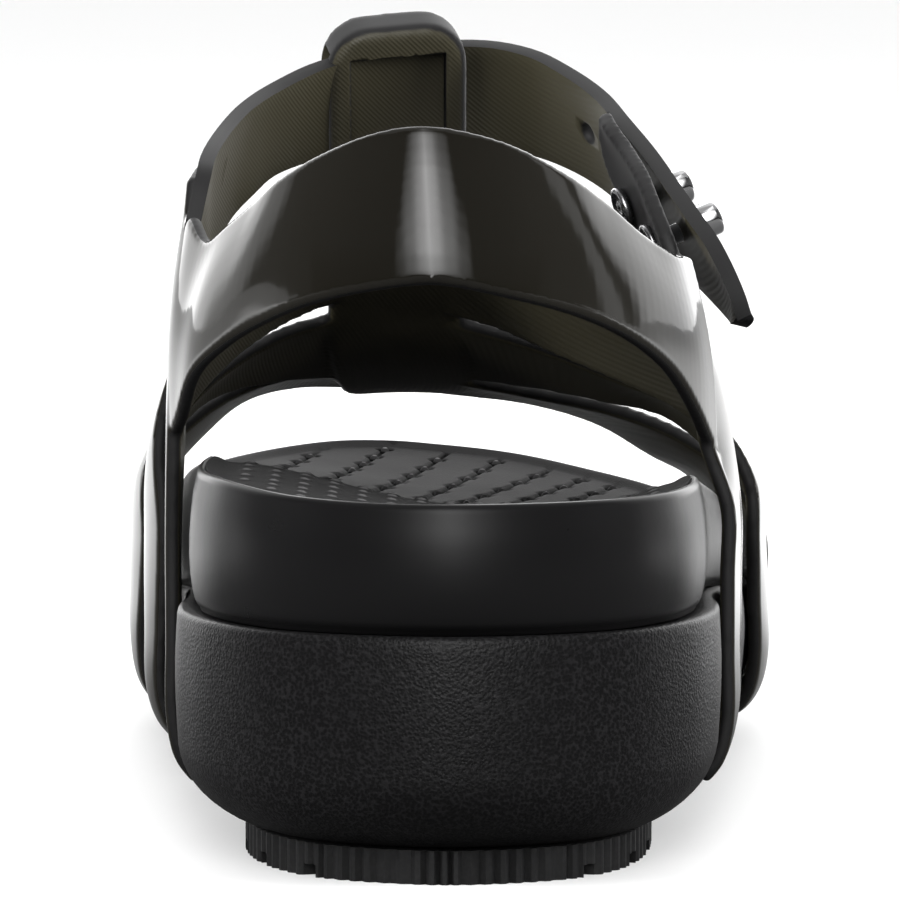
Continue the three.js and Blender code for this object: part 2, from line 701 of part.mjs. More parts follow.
function turned(profilePoints) {
  const lathe = new THREE.LatheGeometry(profilePoints.map(([r, h]) => new THREE.Vector2(r, h)), roundSegments);
  return lathe.rotateX(Math.PI / 2);
}

function studGeometry(seat) {
  const radius = headDiameter / 2;
  const shank = shankDiameter / 2;
  const round = 0.8;
  const depth = tabDepth(seat) + seatGap;
  const stud = turned([
    [0, -depth],
    [shank, -depth],
    [shank, seatGap],
    [radius - 0.3, seatGap],
    [radius, seatGap + 0.3],
    [radius, seatGap + headHeight - round],
    [radius - 0.3 * round, seatGap + headHeight - 0.3 * round],
    [radius - round, seatGap + headHeight],
    [0, seatGap + headHeight],
  ]);
  return alignedTo(stud, seat.point, seat.normal);
}

function discGeometry(seat) {
  const radius = discDiameter / 2;
  const top = -tabDepth(seat) - seatGap;
  const disc = turned([
    [0, top - discThickness - seatGap],
    [radius - 0.6, top - discThickness - seatGap],
    [radius, top - discThickness / 2 - seatGap],
    [radius, top - seatGap],
    [0, top - seatGap],
  ]);
  return alignedTo(disc, seat.point, seat.normal);
}

const materials = {
  rubber: new THREE.MeshStandardMaterial({ color: 0x161616, roughness: 0.7, metalness: 0 }),
  foam: new THREE.MeshStandardMaterial({ color: 0x1d1d1e, roughness: 0.6, metalness: 0 }),
  footbed: new THREE.MeshStandardMaterial({ color: 0x1a1a1b, roughness: 0.4, metalness: 0 }),
  cage: new THREE.MeshStandardMaterial({ color: 0x1c1c17, roughness: 0.12, metalness: 0 }),
  steel: new THREE.MeshStandardMaterial({ color: 0xc9cbce, roughness: 0.18, metalness: 1 }),
};

const group = new THREE.Group();

function addPiece(name, geometry, material) {
  const mesh = new THREE.Mesh(closed(geometry), material);
  mesh.name = name;
  group.add(mesh);
}

addPiece("outsole", outsoleGeometry(), materials.rubber);
addPiece("midsole", midsoleGeometry(), materials.foam);
addPiece("footbed", footbedGeometry(), materials.footbed);
addPiece("upper", upperGeometry(), materials.cage);
for (const [name, share] of Object.entries(studPlaces)) {
  const seat = ankleStrap.middleAt(share);
  addPiece(`stud_${name}`, studGeometry(seat), materials.steel);
  addPiece(`rivet_disc_${name}`, discGeometry(seat), materials.steel);
}

// The origin is the middle of the underside
const bounds = new THREE.Box3().setFromObject(group);
const middle = bounds.getCenter(new THREE.Vector3());
group.position.set(-middle.x, -middle.y, -bounds.min.z);

export default group;
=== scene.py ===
# %% [markdown]
# # A fisherman sandal, right shoe
# A thick foam sole with a lugged tread carries a footbed block, and a glossy cage of moulded straps is held
# over it. The plan: repeat the driving sizes of the CAD part, make the sole's bodies ring by ring, lay each
# strap on its skin, melt the straps into one moulding, and then give every piece the finish that it has on
# the real shoe.

# %% Load the frame
import math

import bmesh
import bpy
from mathutils import Matrix, Vector
from mathutils.bvhtree import BVHTree


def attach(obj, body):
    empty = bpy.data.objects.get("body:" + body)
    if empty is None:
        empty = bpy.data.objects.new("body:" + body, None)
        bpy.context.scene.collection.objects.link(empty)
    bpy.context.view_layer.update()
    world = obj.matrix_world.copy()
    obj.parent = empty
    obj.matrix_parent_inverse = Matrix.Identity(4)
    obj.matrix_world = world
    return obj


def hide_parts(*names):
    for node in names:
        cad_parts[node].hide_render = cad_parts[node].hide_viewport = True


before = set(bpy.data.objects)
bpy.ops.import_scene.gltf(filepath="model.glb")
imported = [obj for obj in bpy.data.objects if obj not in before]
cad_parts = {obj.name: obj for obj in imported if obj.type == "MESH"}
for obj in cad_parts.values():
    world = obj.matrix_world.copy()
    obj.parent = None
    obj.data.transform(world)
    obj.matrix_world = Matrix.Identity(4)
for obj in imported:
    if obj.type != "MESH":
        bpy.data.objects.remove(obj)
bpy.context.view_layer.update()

# %% [markdown]
# ## Driving sizes
# These are the sizes of the CAD part, in metres. The sole starts at the back of the heel, and the frame's
# origin is in the middle of the underside, so every place is moved back by half the sole's length.

# %% Driving sizes
MM = 0.001
SOLE_LENGTH = 260 * MM
HEEL_WIDTH = 80 * MM
BALL_WIDTH = 98 * MM
HEEL_STACK = 55.6 * MM
TREAD_THICKNESS = 5 * MM
TREAD_INSET = 10 * MM
CORNER_HEIGHT = 12 * MM
CORNER_REACH = 14 * MM
FOOTBED_INSET = 2.3 * MM
INSTEP_RISE = 64 * MM
WALL = 2.3 * MM
SIDE_CLEARANCE = 0.4 * MM
LEG_TUCK = 0.55
SEAT_GAP = 0.3 * MM
TO_FRAME = Vector((0.436 * MM, -SOLE_LENGTH / 2, 0))


def mix(start, end, share):
    return start + (end - start) * share


def clamp(value, low=0.0, high=1.0):
    return max(low, min(high, value))


def smooth_step(start, end, value):
    share = clamp((value - start) / (end - start))
    return share * share * (3 - 2 * share)


def rows(names, values):
    keys = names.split()
    return [dict(zip(keys, row)) for row in values]


# %% [markdown]
# ## Outline and side profile
# A shoe's sole is drawn from above by its half widths on the inner and outer side, and from the side by the
# heights of its top, its seam and its toe spring. Both are tables of shares, so the whole shoe follows the
# driving sizes.

# %% Outline and profile tables
outline_rows = rows("along medial lateral", [
    [0.03, 0.59, 0.59],
    [0.08, 0.86, 0.85],
    [0.14, 0.985, 0.965],
    [0.2, 1.012, 1.0],
    [0.27, 1.0, 1.005],
    [0.34, 1.02, 1.05],
    [0.43, 1.045, 1.06],
    [0.52, 1.0, 1.02],
    [0.6, 1.0, 1.0],
    [0.68, 1.01, 0.985],
    [0.76, 0.995, 0.915],
    [0.84, 0.93, 0.77],
    [0.91, 0.79, 0.53],
    [0.96, 0.62, 0.28],
    [0.99, 0.43, 0.0],
])
TOE_TIP_ACROSS = -0.2
profile_rows = rows("along top seam spring", [
    [0.0, 1.0, 0.665, 0.0],
    [0.12, 0.99, 0.655, 0.0],
    [0.25, 0.962, 0.63, 0.0],
    [0.38, 0.867, 0.59, 0.019],
    [0.5, 0.743, 0.52, 0.01],
    [0.62, 0.657, 0.473, 0.0],
    [0.75, 0.638, 0.463, 0.0],
    [0.88, 0.666, 0.49, 0.057],
    [1.0, 0.724, 0.547, 0.172],
])


# %% Heights along the sole
def profile(column, y):
    along = clamp(y / SOLE_LENGTH)
    last = len(profile_rows) - 1
    following = max(1, next(i for i, row in enumerate(profile_rows) if row["along"] >= along))

    def value(index):
        return profile_rows[max(0, min(last, index))]

    def slope(index):
        before, after = value(index - 1), value(index + 1)
        return (after[column] - before[column]) / (after["along"] - before["along"])

    start, end = value(following - 1), value(following)
    span = end["along"] - start["along"]
    t = (along - start["along"]) / span
    rise = (2 * t**3 - 3 * t**2 + 1) * start[column] + (3 * t**2 - 2 * t**3) * end[column]
    lean = (t**3 - 2 * t**2 + t) * slope(following - 1) + (t**3 - t**2) * slope(following)
    return HEEL_STACK * (rise + lean * span)


def top_height(y):
    return profile("top", y)


def seam_height(y):
    return profile("seam", y)


def spring_height(y):
    return max(0, profile("spring", y))


def foam_bottom(y):
    return TREAD_THICKNESS + spring_height(y)


def spread(along):
    return mix(HEEL_WIDTH, BALL_WIDTH, clamp((along - 0.35) / 0.25)) / 2


# %% [markdown]
# ## Smooth curves
# One curve tool draws everything on this shoe: a spline through a few points that doesn't overshoot between
# close ones. Its knots are spaced by the square root of the distance between the points.

# %% Smooth curve through points
class SmoothCurve:
    def __init__(self, points):
        before = 2 * points[0] - points[1]
        after = 2 * points[-1] - points[-2]
        self.points = [before, *points, after]
        self.spans = len(points) - 1

    def point(self, share):
        place = clamp(share) * self.spans
        index = min(int(place), self.spans - 1)
        t = place - index
        p0, p1, p2, p3 = self.points[index:index + 4]
        d0, d1, d2 = [math.sqrt(max((b - a).length, 1e-9)) for a, b in ((p0, p1), (p1, p2), (p2, p3))]
        if (p1 - p0).length < 1e-7:
            d0 = d1
        if (p3 - p2).length < 1e-7:
            d2 = d1
        leave = ((p1 - p0) / d0 - (p2 - p0) / (d0 + d1) + (p2 - p1) / d1) * d1
        arrive = ((p2 - p1) / d1 - (p3 - p1) / (d1 + d2) + (p3 - p2) / d2) * d1
        bend = -3 * p1 + 3 * p2 - 2 * leave - arrive
        twist = 2 * p1 - 2 * p2 + leave + arrive
        return p1 + leave * t + bend * t * t + twist * t * t * t

    def way(self, share):
        step = 0.0001
        return (self.point(share + step) - self.point(share - step)).normalized()


# %% The sole's outline
def side_curve(side):
    own, other = ("medial", "lateral") if side < 0 else ("lateral", "medial")

    def edge(row, column, sign):
        return Vector((sign * row[column] * spread(row["along"]), row["along"] * SOLE_LENGTH, 0))

    points = [edge(row, own, side) for row in outline_rows]
    heel = Vector((0, 0, 0))
    toe = Vector((TOE_TIP_ACROSS * spread(1), SOLE_LENGTH, 0))
    ahead, beyond = (edge(outline_rows[index], other, -side) for index in (0, -1))
    return SmoothCurve([ahead, heel, *points, toe, beyond])


side_curves = {-1: side_curve(-1), 1: side_curve(1)}
SIDE_SPANS = len(outline_rows) + 3


def outline_point(side, step):
    curve = side_curves[side]
    share = mix(1 / SIDE_SPANS, (SIDE_SPANS - 1) / SIDE_SPANS, step)
    way = curve.way(share)
    return curve.point(share), Vector((way.y, -way.x, 0)) * side


def outline_at(side, y):
    low, high = 0.0, 1.0
    for _ in range(24):
        middle = (low + high) / 2
        if outline_point(side, middle)[0].y < y:
            low = middle
        else:
            high = middle
    return outline_point(side, (low + high) / 2)


print("half widths at the heel", [round(outline_at(side, 0.2 * SOLE_LENGTH)[0].x, 4) for side in (-1, 1)])

# %% [markdown]
# ## Building a body ring by ring
# Moulded foam is easiest to make like a stack of contours: a circle of vertices is extruded again and
# again, and each new ring is set to its own inset and height on the outline. The corners stay smooth
# because the rings sit close together there.

# %% Ring builder
OUTLINE_STEPS = 110


def ring_place(station, reach, inset, height):
    loop = 2 * OUTLINE_STEPS
    side = 1 if station <= OUTLINE_STEPS else -1
    step = (station if side > 0 else loop - station) / OUTLINE_STEPS
    edges = []
    for way in (-1, 1):
        point, outward = outline_point(way, step)
        edges.append(point - outward * inset)
    middle = (edges[0] + edges[1]) / 2
    place = middle.lerp(edges[0] if side < 0 else edges[1], reach)
    return Vector((place.x, place.y, height(place.y))) + TO_FRAME


def ring_body(name, rings):
    bm = bmesh.new()
    station = bm.verts.layers.int.new("station")
    made = bmesh.ops.create_circle(bm, cap_ends=False, segments=2 * OUTLINE_STEPS, radius=SOLE_LENGTH)
    around = sorted(made["verts"], key=lambda v: math.atan2(v.co.y, v.co.x))
    for index, vertex in enumerate(around):
        vertex[station] = index
    edges = list(bm.edges)
    for number, ring in enumerate(rings):
        if number > 0:
            grown = bmesh.ops.extrude_edge_only(bm, edges=edges)["geom"]
            edges = [item for item in grown if isinstance(item, bmesh.types.BMEdge)]
            around = [item for item in grown if isinstance(item, bmesh.types.BMVert)]
            edges = [edge for edge in edges if all(vertex in set(around) for vertex in edge.verts)]
        for vertex in around:
            vertex.co = ring_place(vertex[station], *ring)
    bmesh.ops.remove_doubles(bm, verts=bm.verts, dist=0.02 * MM)
    bmesh.ops.recalc_face_normals(bm, faces=bm.faces)
    return finished(name, bm)


def finished(name, bm, smooth=True):
    mesh = bpy.data.meshes.new(name)
    bm.to_mesh(mesh)
    bm.free()
    for polygon in mesh.polygons:
        polygon.use_smooth = smooth
    piece = bpy.data.objects.new(name, mesh)
    bpy.context.collection.objects.link(piece)
    print(name, "faces", len(mesh.polygons))
    return piece


# %% [markdown]
# ## Midsole
# The midsole is one block of moulded foam with a leathery skin. Its lower corner is a wide soft curve, its
# side is nearly upright, and its upper edge ends in a thin lip that the footbed sits behind.

# %% Midsole
def lower_corner(steps):
    found = []
    for index in range(steps + 1):
        angle = index / steps * math.pi / 2
        lift = CORNER_HEIGHT * (1 - math.cos(angle))
        found.append((1, CORNER_REACH * (1 - math.sin(angle)), lambda y, lift=lift: foam_bottom(y) + lift))
    return found


def between(low, high, share):
    return lambda y: mix(low(y), high(y), share)


def foam_shoulder(y):
    return foam_bottom(y) + CORNER_HEIGHT


def below_seam(drop):
    return lambda y: seam_height(y) - drop


LIP = 0.9 * MM
midsole_rings = [
    (0, CORNER_REACH, foam_bottom),
    (0.5, CORNER_REACH, foam_bottom),
    *lower_corner(14),
    *[(1, -0.35 * MM * math.sin(math.pi * share), between(foam_shoulder, below_seam(LIP), share)) for share in
      (0.15, 0.3, 0.45, 0.6, 0.75, 0.9, 1)],
    (1, 0.12 * LIP, below_seam(0.6 * LIP)),
    (1, 0.35 * LIP, below_seam(0.25 * LIP)),
    (1, 0.8 * LIP, below_seam(0.03 * LIP)),
    (1, 1.3 * LIP, below_seam(0)),
    (1, FOOTBED_INSET, below_seam(0.1 * LIP)),
    (1, FOOTBED_INSET + LIP, below_seam(0.45 * LIP)),
    (0, FOOTBED_INSET + LIP, below_seam(0.45 * LIP)),
]
midsole = ring_body("midsole_foam", midsole_rings)

# %% [markdown]
# ## Footbed block
# The footbed is a second, denser block that sits in the midsole behind a narrow dark gap. Its side swells a
# little, its upper edge is rounded, and its inner side stands higher to carry the arch.

# %% Footbed block
GROOVE = 1.1 * MM
CUP = 0.9 * MM
HEEL_CUP = 3.6 * MM
BELLY = FOOTBED_INSET - 0.5 * MM
RIM_IN = FOOTBED_INSET + 3.6 * MM


def above_seam(lift):
    return lambda y: seam_height(y) + lift


def top_less(drop):
    return lambda y: top_height(y) - drop


def waist(share):
    return between(above_seam(GROOVE), top_height, share)


def arch_rise(point):
    """How much higher the inner side of the top stands, at a place in the frame."""
    y = point.y - TO_FRAME.y
    arch = mix(1.8 * MM, 3.6 * MM, smooth_step(35 * MM, 95 * MM, y)) * smooth_step(-5 * MM, 30 * MM, y)
    arch *= 1 - smooth_step(105 * MM, 175 * MM, y)
    ball = 3.2 * MM * smooth_step(120 * MM, 185 * MM, y) * (1 - 0.6 * smooth_step(215 * MM, 255 * MM, y))
    return (arch + ball) * smooth_step(0, 36 * MM, -point.x)


def lift_arch(piece):
    for vertex in piece.data.vertices:
        y = vertex.co.y - TO_FRAME.y
        share = smooth_step(seam_height(y) + GROOVE, top_height(y) - CUP, vertex.co.z)
        vertex.co.z += share * arch_rise(vertex.co)


ROUND = 1.5 * MM
rim_rings = [
    (1, FOOTBED_INSET + 0.6 * MM + ROUND * (1 - math.cos(angle)) * 0.8,
     top_less(ROUND * (1 - math.sin(angle))))
    for angle in (0, 0.3, 0.6, 0.9, 1.2, 1.5)
]
footbed_rings = [
    (0, FOOTBED_INSET + GROOVE, below_seam(0.1 * MM)),
    (1, FOOTBED_INSET + GROOVE, below_seam(0.1 * MM)),
    (1, FOOTBED_INSET + GROOVE, above_seam(0.5 * GROOVE)),
    (1, FOOTBED_INSET + 0.55 * MM, above_seam(0.7 * GROOVE)),
    (1, FOOTBED_INSET + 0.2 * MM, waist(0.03)),
    (1, FOOTBED_INSET - 0.05 * MM, waist(0.09)),
    (1, mix(FOOTBED_INSET, BELLY, 0.7), waist(0.2)),
    (1, BELLY, waist(0.35)),
    (1, BELLY + 0.05 * MM, waist(0.5)),
    (1, BELLY + 0.25 * MM, waist(0.65)),
    (1, BELLY + 0.6 * MM, waist(0.8)),
    *rim_rings,
    (1, RIM_IN - 1.2 * MM, top_less(1.5 * CUP)),
    (1, RIM_IN + 2 * MM, top_less(CUP + 2 * HEEL_CUP)),
    (0, RIM_IN + 2 * MM, top_less(CUP + 2 * HEEL_CUP)),
]
footbed = ring_body("footbed_block", footbed_rings)
lift_arch(footbed)

# %% [markdown]
# ## Footbed top
# The foot rests on a field of beaded grooves in the forefoot and of small raised dots under the heel. They
# are about a millimetre deep, but the sandal is seen along this surface, so they are real shape and not
# only shading: a fine grid is laid between the rims and each vertex is raised or lowered by the pattern.
# How far is kept as an attribute, so that the finish can paint shade into the pits and a highlight on the
# beads and dots. Under the heel the top sinks into a cup that is deeper towards the outer side.

# %% Pattern of the top
BEAD_PITCH = 7.4 * MM
bead_rows = rows("startX startY endX endY", [
    [-33.0, 205.0, -22.8, 250.0],
    [-26.0, 196.0, -11.5, 252.5],
    [-20.0, 186.0, 0.0, 252.5],
    [-14.5, 178.0, 10.6, 250.5],
    [-9.5, 176.0, 21.2, 245.0],
    [-2.5, 174.0, 29.0, 240.0],
    [6.0, 174.0, 34.2, 233.0],
    [15.5, 176.0, 37.0, 222.0],
    [-31.0, 150.0, -21.0, 182.0],
    [-22.0, 146.0, -13.0, 172.0],
    [-13.0, 144.0, -4.0, 166.0],
    [-3.0, 143.0, 7.0, 165.0],
    [8.0, 144.0, 18.0, 168.0],
    [19.0, 147.0, 29.0, 176.0],
])


def bead_line_depth(x, y):
    """Depth of the beaded grooves at a plan place: a fine line, wider round pits and a small bead in each."""
    depth = 0.0
    for row in bead_rows:
        start = Vector((row["startX"] * MM, row["startY"] * MM))
        way = Vector((row["endX"] * MM, row["endY"] * MM)) - start
        run = way.length
        way /= run
        offset = Vector((x, y)) - start
        along = offset.dot(way)
        aside = abs(offset.cross(way))
        if aside > 2 * MM or along < -2 * MM or along > run + 2 * MM:
            continue
        beads = max(1, round(run / BEAD_PITCH))
        nearest = clamp(round(along / run * beads), 0, beads) * run / beads
        reach = math.hypot(aside, along - nearest)
        pit = 0.8 * MM * (1 - smooth_step(1.1 * MM, 1.8 * MM, reach))
        bead = 1.1 * MM * (1 - smooth_step(0.3 * MM, 1.15 * MM, reach))
        line = 0.6 * MM * (1 - smooth_step(0.3 * MM, 0.75 * MM, aside)) if 0 < along < run else 0
        depth = max(depth, pit, line) - bead * (1 if pit > 0 else 0)
    return depth


def heel_dot_height(x, y):
    """Height of the small dots under the heel, in staggered lines along the foot."""
    if not (10 * MM < y < 78 * MM) or abs(x) > 33 * MM:
        return 0.0
    column = round(x / (4.3 * MM))
    shift = 0.5 if column % 2 else 0.0
    row = round(y / (8 * MM) - shift) + shift
    reach = math.hypot(x - column * 4.3 * MM, y - row * 8 * MM)
    return 0.4 * MM * (1 - smooth_step(0.35 * MM, 1.2 * MM, reach)) * smooth_step(10 * MM, 16 * MM, y)


# %% Lay the grid between the rims
def laid_top():
    bm = bmesh.new()
    relief = bm.verts.layers.float.new("relief")
    bmesh.ops.create_grid(bm, x_segments=128, y_segments=430, size=0.5)
    edges = {}
    for vertex in bm.verts:
        across, along = vertex.co.x + 0.5, vertex.co.y + 0.5
        key = round(along, 6)
        if key not in edges:
            step = mix(0.02, 0.985, along)
            edges[key] = [point - outward * (RIM_IN - 1.6 * MM) for point, outward in
                          (outline_point(side, step) for side in (-1, 1))]
        left, right = edges[key]
        place = left.lerp(right, across)
        edge_share = min(across, 1 - across) * (right - left).length / (9 * MM)
        fade = smooth_step(0.1, 0.6, edge_share)
        x, y = place.x, place.y
        heel = (1 - smooth_step(95 * MM, 130 * MM, y)) * smooth_step(-34 * MM, 6 * MM, x)
        cup = mix(0.05 * MM, CUP, smooth_step(0, 0.3, edge_share))
        cup += HEEL_CUP * heel * smooth_step(0, 1.6, edge_share) * smooth_step(4 * MM, 20 * MM, y)
        rise = heel_dot_height(x, y) - bead_line_depth(x, y)
        vertex[relief] = fade * rise / MM
        vertex.co = Vector((x, y, top_height(y) - cup + fade * rise)) + TO_FRAME
        vertex.co.z += arch_rise(vertex.co)
    bmesh.ops.recalc_face_normals(bm, faces=bm.faces)
    if sum(face.normal.z for face in bm.faces) < 0:
        bmesh.ops.reverse_faces(bm, faces=bm.faces)
    return finished("footbed_top", bm)


footbed_top = laid_top()

# %% [markdown]
# ## Outsole
# A thin rubber tread is glued under the foam and stands in from its edge. Its rim is fluted like a coin,
# and bowed grooves part the lugs. The fluted wall is made by rings whose stations move in and out, and the
# grooves are cut with bars.

# %% Outsole plate
FLUTE_PITCH = 3 * MM
FLUTE_DEPTH = 0.8 * MM
GROOVE_DEPTH = 1.8 * MM
GROOVE_WIDTH = 3 * MM
GROOVE_PITCH = 13 * MM
FLUTE_STEPS = 880
LID_DROPS = (0.35, 0.7, 0.92, 1.0)


def outsole_plate():
    bm = bmesh.new()
    run = 0.0
    edge = []
    previous = None
    for index in range(FLUTE_STEPS):
        half = FLUTE_STEPS // 2
        side = 1 if index < half else -1
        step = (index if side > 0 else FLUTE_STEPS - index) / half
        point, outward = outline_point(side, step)
        if previous is not None:
            run += (point - previous).length
        previous = point
        wave = abs((run / FLUTE_PITCH) % 1 - 0.5) * 2
        flute = FLUTE_DEPTH * smooth_step(0.35, 1, wave)
        edge.append((point, outward, flute))
    made = bmesh.ops.create_circle(bm, cap_ends=True, segments=FLUTE_STEPS, radius=SOLE_LENGTH)
    around = sorted(made["verts"], key=lambda v: math.atan2(v.co.y, v.co.x))
    for vertex, (point, outward, flute) in zip(around, edge):
        place = point - outward * (TREAD_INSET + flute)
        vertex.co = Vector((place.x, place.y, foam_bottom(place.y) - SEAT_GAP * 0.2)) + TO_FRAME
    lid = bm.faces[:]
    for drop in LID_DROPS:
        grown = bmesh.ops.extrude_face_region(bm, geom=lid)["geom"]
        if drop > LID_DROPS[0]:
            bmesh.ops.delete(bm, geom=lid, context="FACES_ONLY")
        lid = [item for item in grown if isinstance(item, bmesh.types.BMFace)]
        for vertex in {vertex for face in lid for vertex in face.verts}:
            y = vertex.co.y - TO_FRAME.y
            vertex.co.z = mix(foam_bottom(y) - SEAT_GAP * 0.2, spring_height(y), drop)
    bmesh.ops.triangulate(bm, faces=lid, quad_method="BEAUTY", ngon_method="BEAUTY")
    bmesh.ops.recalc_face_normals(bm, faces=bm.faces)
    return finished("outsole_tread", bm, smooth=False)


outsole = outsole_plate()


# %% Grooves between the lugs
def groove_bars():
    bm = bmesh.new()
    bow = 0.3
    for start, end in ((0.095, 0.33), (0.43, 0.93)):
        y = start * SOLE_LENGTH
        while y < end * SOLE_LENGTH:
            for side in (-1, 1):
                middle = (outline_at(-1, y)[0].x + outline_at(1, y)[0].x) / 2
                lift = (spring_height(y) + spring_height(y - bow * BALL_WIDTH / 2)) / 2
                turn = Matrix.Rotation(-side * bow, 4, "Z")
                size = Matrix.Diagonal((BALL_WIDTH / 2 + 2 * MM, GROOVE_WIDTH, 2 * GROOVE_DEPTH, 1))
                shift = Matrix.Translation((side * BALL_WIDTH / 4, 0, 0))
                place = Matrix.Translation(Vector((middle, y, lift)) + TO_FRAME)
                bmesh.ops.create_cube(bm, size=1, matrix=place @ turn @ shift @ size)
            y += GROOVE_PITCH
    return finished("groove_bars", bm, smooth=False)


def keep_result(piece):
    """Writes what the modifiers make into the piece's mesh."""
    graph = bpy.context.evaluated_depsgraph_get()
    mesh = bpy.data.meshes.new_from_object(piece.evaluated_get(graph))
    piece.modifiers.clear()
    piece.data = mesh


def cut(piece, tool):
    cutter = piece.modifiers.new("cut", "BOOLEAN")
    cutter.operation = "DIFFERENCE"
    cutter.solver = "EXACT"
    cutter.use_self = True
    cutter.object = tool
    bpy.context.view_layer.update()
    keep_result(piece)
    bpy.data.objects.remove(tool)


cut(outsole, groove_bars())
print("outsole faces after cutting", len(outsole.data.polygons))

# %% [markdown]
# ## The cage's straps
# The cage is one moulding of a clear smoky plastic. Each strap is described by its two edges, from one end
# to the other: how far along the sole, how far across as a share of the half width, and how high as a share
# of the instep's rise. Below zero an edge runs down the sole's side and follows the foam.

# %% Tables of the straps' edges
STRAP_COLUMNS = "aAlong aAcross aLevel bAlong bAcross bLevel"
heel_band_rows = rows(STRAP_COLUMNS, [
    [0.262, -1.0, 0.628, 0.262, -1.058, 0.06],
    [0.231, -0.972, 0.602, 0.238, -1.05, 0.095],
    [0.2, -0.915, 0.553, 0.215, -1.025, 0.13],
    [0.165, -0.815, 0.6, 0.173, -0.97, 0.235],
    [0.135, -0.715, 0.655, 0.142, -0.875, 0.3],
    [0.108, -0.62, 0.71, 0.108, -0.733, 0.362],
    [0.085, -0.465, 0.77, 0.065, -0.512, 0.43],
    [0.069, -0.275, 0.818, 0.046, -0.275, 0.466],
    [0.063, -0.088, 0.835, 0.04, -0.05, 0.48],
    [0.073, 0.185, 0.8, 0.05, 0.225, 0.447],
    [0.1, 0.418, 0.725, 0.077, 0.45, 0.405],
    [0.131, 0.563, 0.658, 0.115, 0.65, 0.345],
    [0.165, 0.713, 0.575, 0.162, 0.813, 0.26],
    [0.2, 0.828, 0.527, 0.204, 0.925, 0.152],
    [0.246, 0.905, 0.515, 0.254, 1.008, 0.045],
])
medial_panel_rows = rows(STRAP_COLUMNS, [
    [0.254, -0.99, 0.697, 0.323, -0.882, 0.795],
    [0.246, -1.005, 0.58, 0.331, -0.938, 0.645],
    [0.238, -1.037, 0.405, 0.338, -1.012, 0.47],
    [0.235, -1.055, 0.2, 0.342, -1.058, 0.285],
    [0.238, -1.063, 0.06, 0.342, -1.07, 0.1],
    [0.244, -1, -0.2, 0.342, -1, -0.2],
    [0.246, -1, -0.5, 0.338, -1, -0.5],
    [0.248, -1, -0.76, 0.331, -1, -0.76],
    [0.25, -1, -0.89, 0.327, -1, -0.89],
    [0.252, -1, -0.97, 0.325, -1, -0.97],
])
lateral_panel_rows = rows(STRAP_COLUMNS, [
    [0.223, 0.872, 0.492, 0.323, 0.862, 0.444],
    [0.227, 0.902, 0.384, 0.338, 0.955, 0.361],
    [0.231, 0.947, 0.228, 0.346, 1.03, 0.259],
    [0.24, 0.982, 0.077, 0.35, 1.085, 0.12],
    [0.244, 1, -0.1, 0.35, 1, -0.1],
    [0.246, 1, -0.3, 0.35, 1, -0.3],
    [0.248, 1, -0.55, 0.346, 1, -0.55],
    [0.25, 1, -0.78, 0.34, 1, -0.78],
    [0.251, 1, -0.9, 0.335, 1, -0.9],
    [0.252, 1, -0.97, 0.331, 1, -0.97],
])
ankle_strap_rows = rows(STRAP_COLUMNS, [
    [0.235, -0.985, 0.6, 0.262, -1.01, 0.4],
    [0.252, -0.952, 0.705, 0.292, -0.975, 0.48],
    [0.273, -0.935, 0.76, 0.323, -0.95, 0.553],
    [0.323, -0.865, 0.855, 0.362, -0.88, 0.652],
    [0.354, -0.79, 0.919, 0.388, -0.784, 0.719],
    [0.385, -0.66, 0.983, 0.415, -0.68, 0.788],
    [0.415, -0.475, 1.055, 0.444, -0.482, 0.85],
    [0.435, -0.209, 1.108, 0.461, -0.205, 0.88],
    [0.438, 0.109, 1.123, 0.465, 0.09, 0.89],
    [0.421, 0.303, 1.087, 0.452, 0.286, 0.867],
    [0.394, 0.457, 1.02, 0.425, 0.457, 0.812],
    [0.361, 0.594, 0.944, 0.392, 0.627, 0.731],
    [0.325, 0.685, 0.861, 0.36, 0.755, 0.644],
    [0.288, 0.78, 0.77, 0.323, 0.86, 0.551],
    [0.254, 0.86, 0.684, 0.29, 0.965, 0.475],
    [0.225, 0.932, 0.612, 0.256, 1.035, 0.418],
    [0.204, 0.99, 0.558, 0.222, 1.078, 0.38],
    [0.181, 1.045, 0.489, 0.192, 1.09, 0.364],
    [0.16, 1.085, 0.425, 0.171, 1.087, 0.354],
    [0.151, 1.1, 0.39, 0.157, 1.098, 0.362],
])
tab_rows = rows(STRAP_COLUMNS, [
    [0.327, 0.605, 0.885, 0.333, 0.592, 0.868],
    [0.311, 0.635, 0.843, 0.334, 0.615, 0.806],
    [0.294, 0.685, 0.792, 0.329, 0.652, 0.731],
    [0.267, 0.742, 0.719, 0.313, 0.722, 0.633],
    [0.239, 0.793, 0.626, 0.31, 0.795, 0.545],
    [0.222, 0.838, 0.548, 0.319, 0.862, 0.447],
    [0.219, 0.9, 0.416, 0.331, 0.945, 0.356],
])
central_strap_rows = rows(STRAP_COLUMNS, [
    [0.464, -0.46, 0.968, 0.464, 0.045, 0.968],
    [0.471, -0.458, 0.88, 0.471, 0.045, 0.88],
    [0.496, -0.445, 0.748, 0.496, 0.045, 0.748],
    [0.535, -0.43, 0.617, 0.535, 0.045, 0.617],
    [0.577, -0.413, 0.527, 0.577, 0.047, 0.527],
    [0.635, -0.4, 0.438, 0.635, 0.06, 0.438],
    [0.7, -0.388, 0.365, 0.7, 0.08, 0.365],
    [0.745, -0.37, 0.326, 0.745, 0.065, 0.326],
    [0.765, -0.34, 0.312, 0.765, 0.04, 0.312],
])
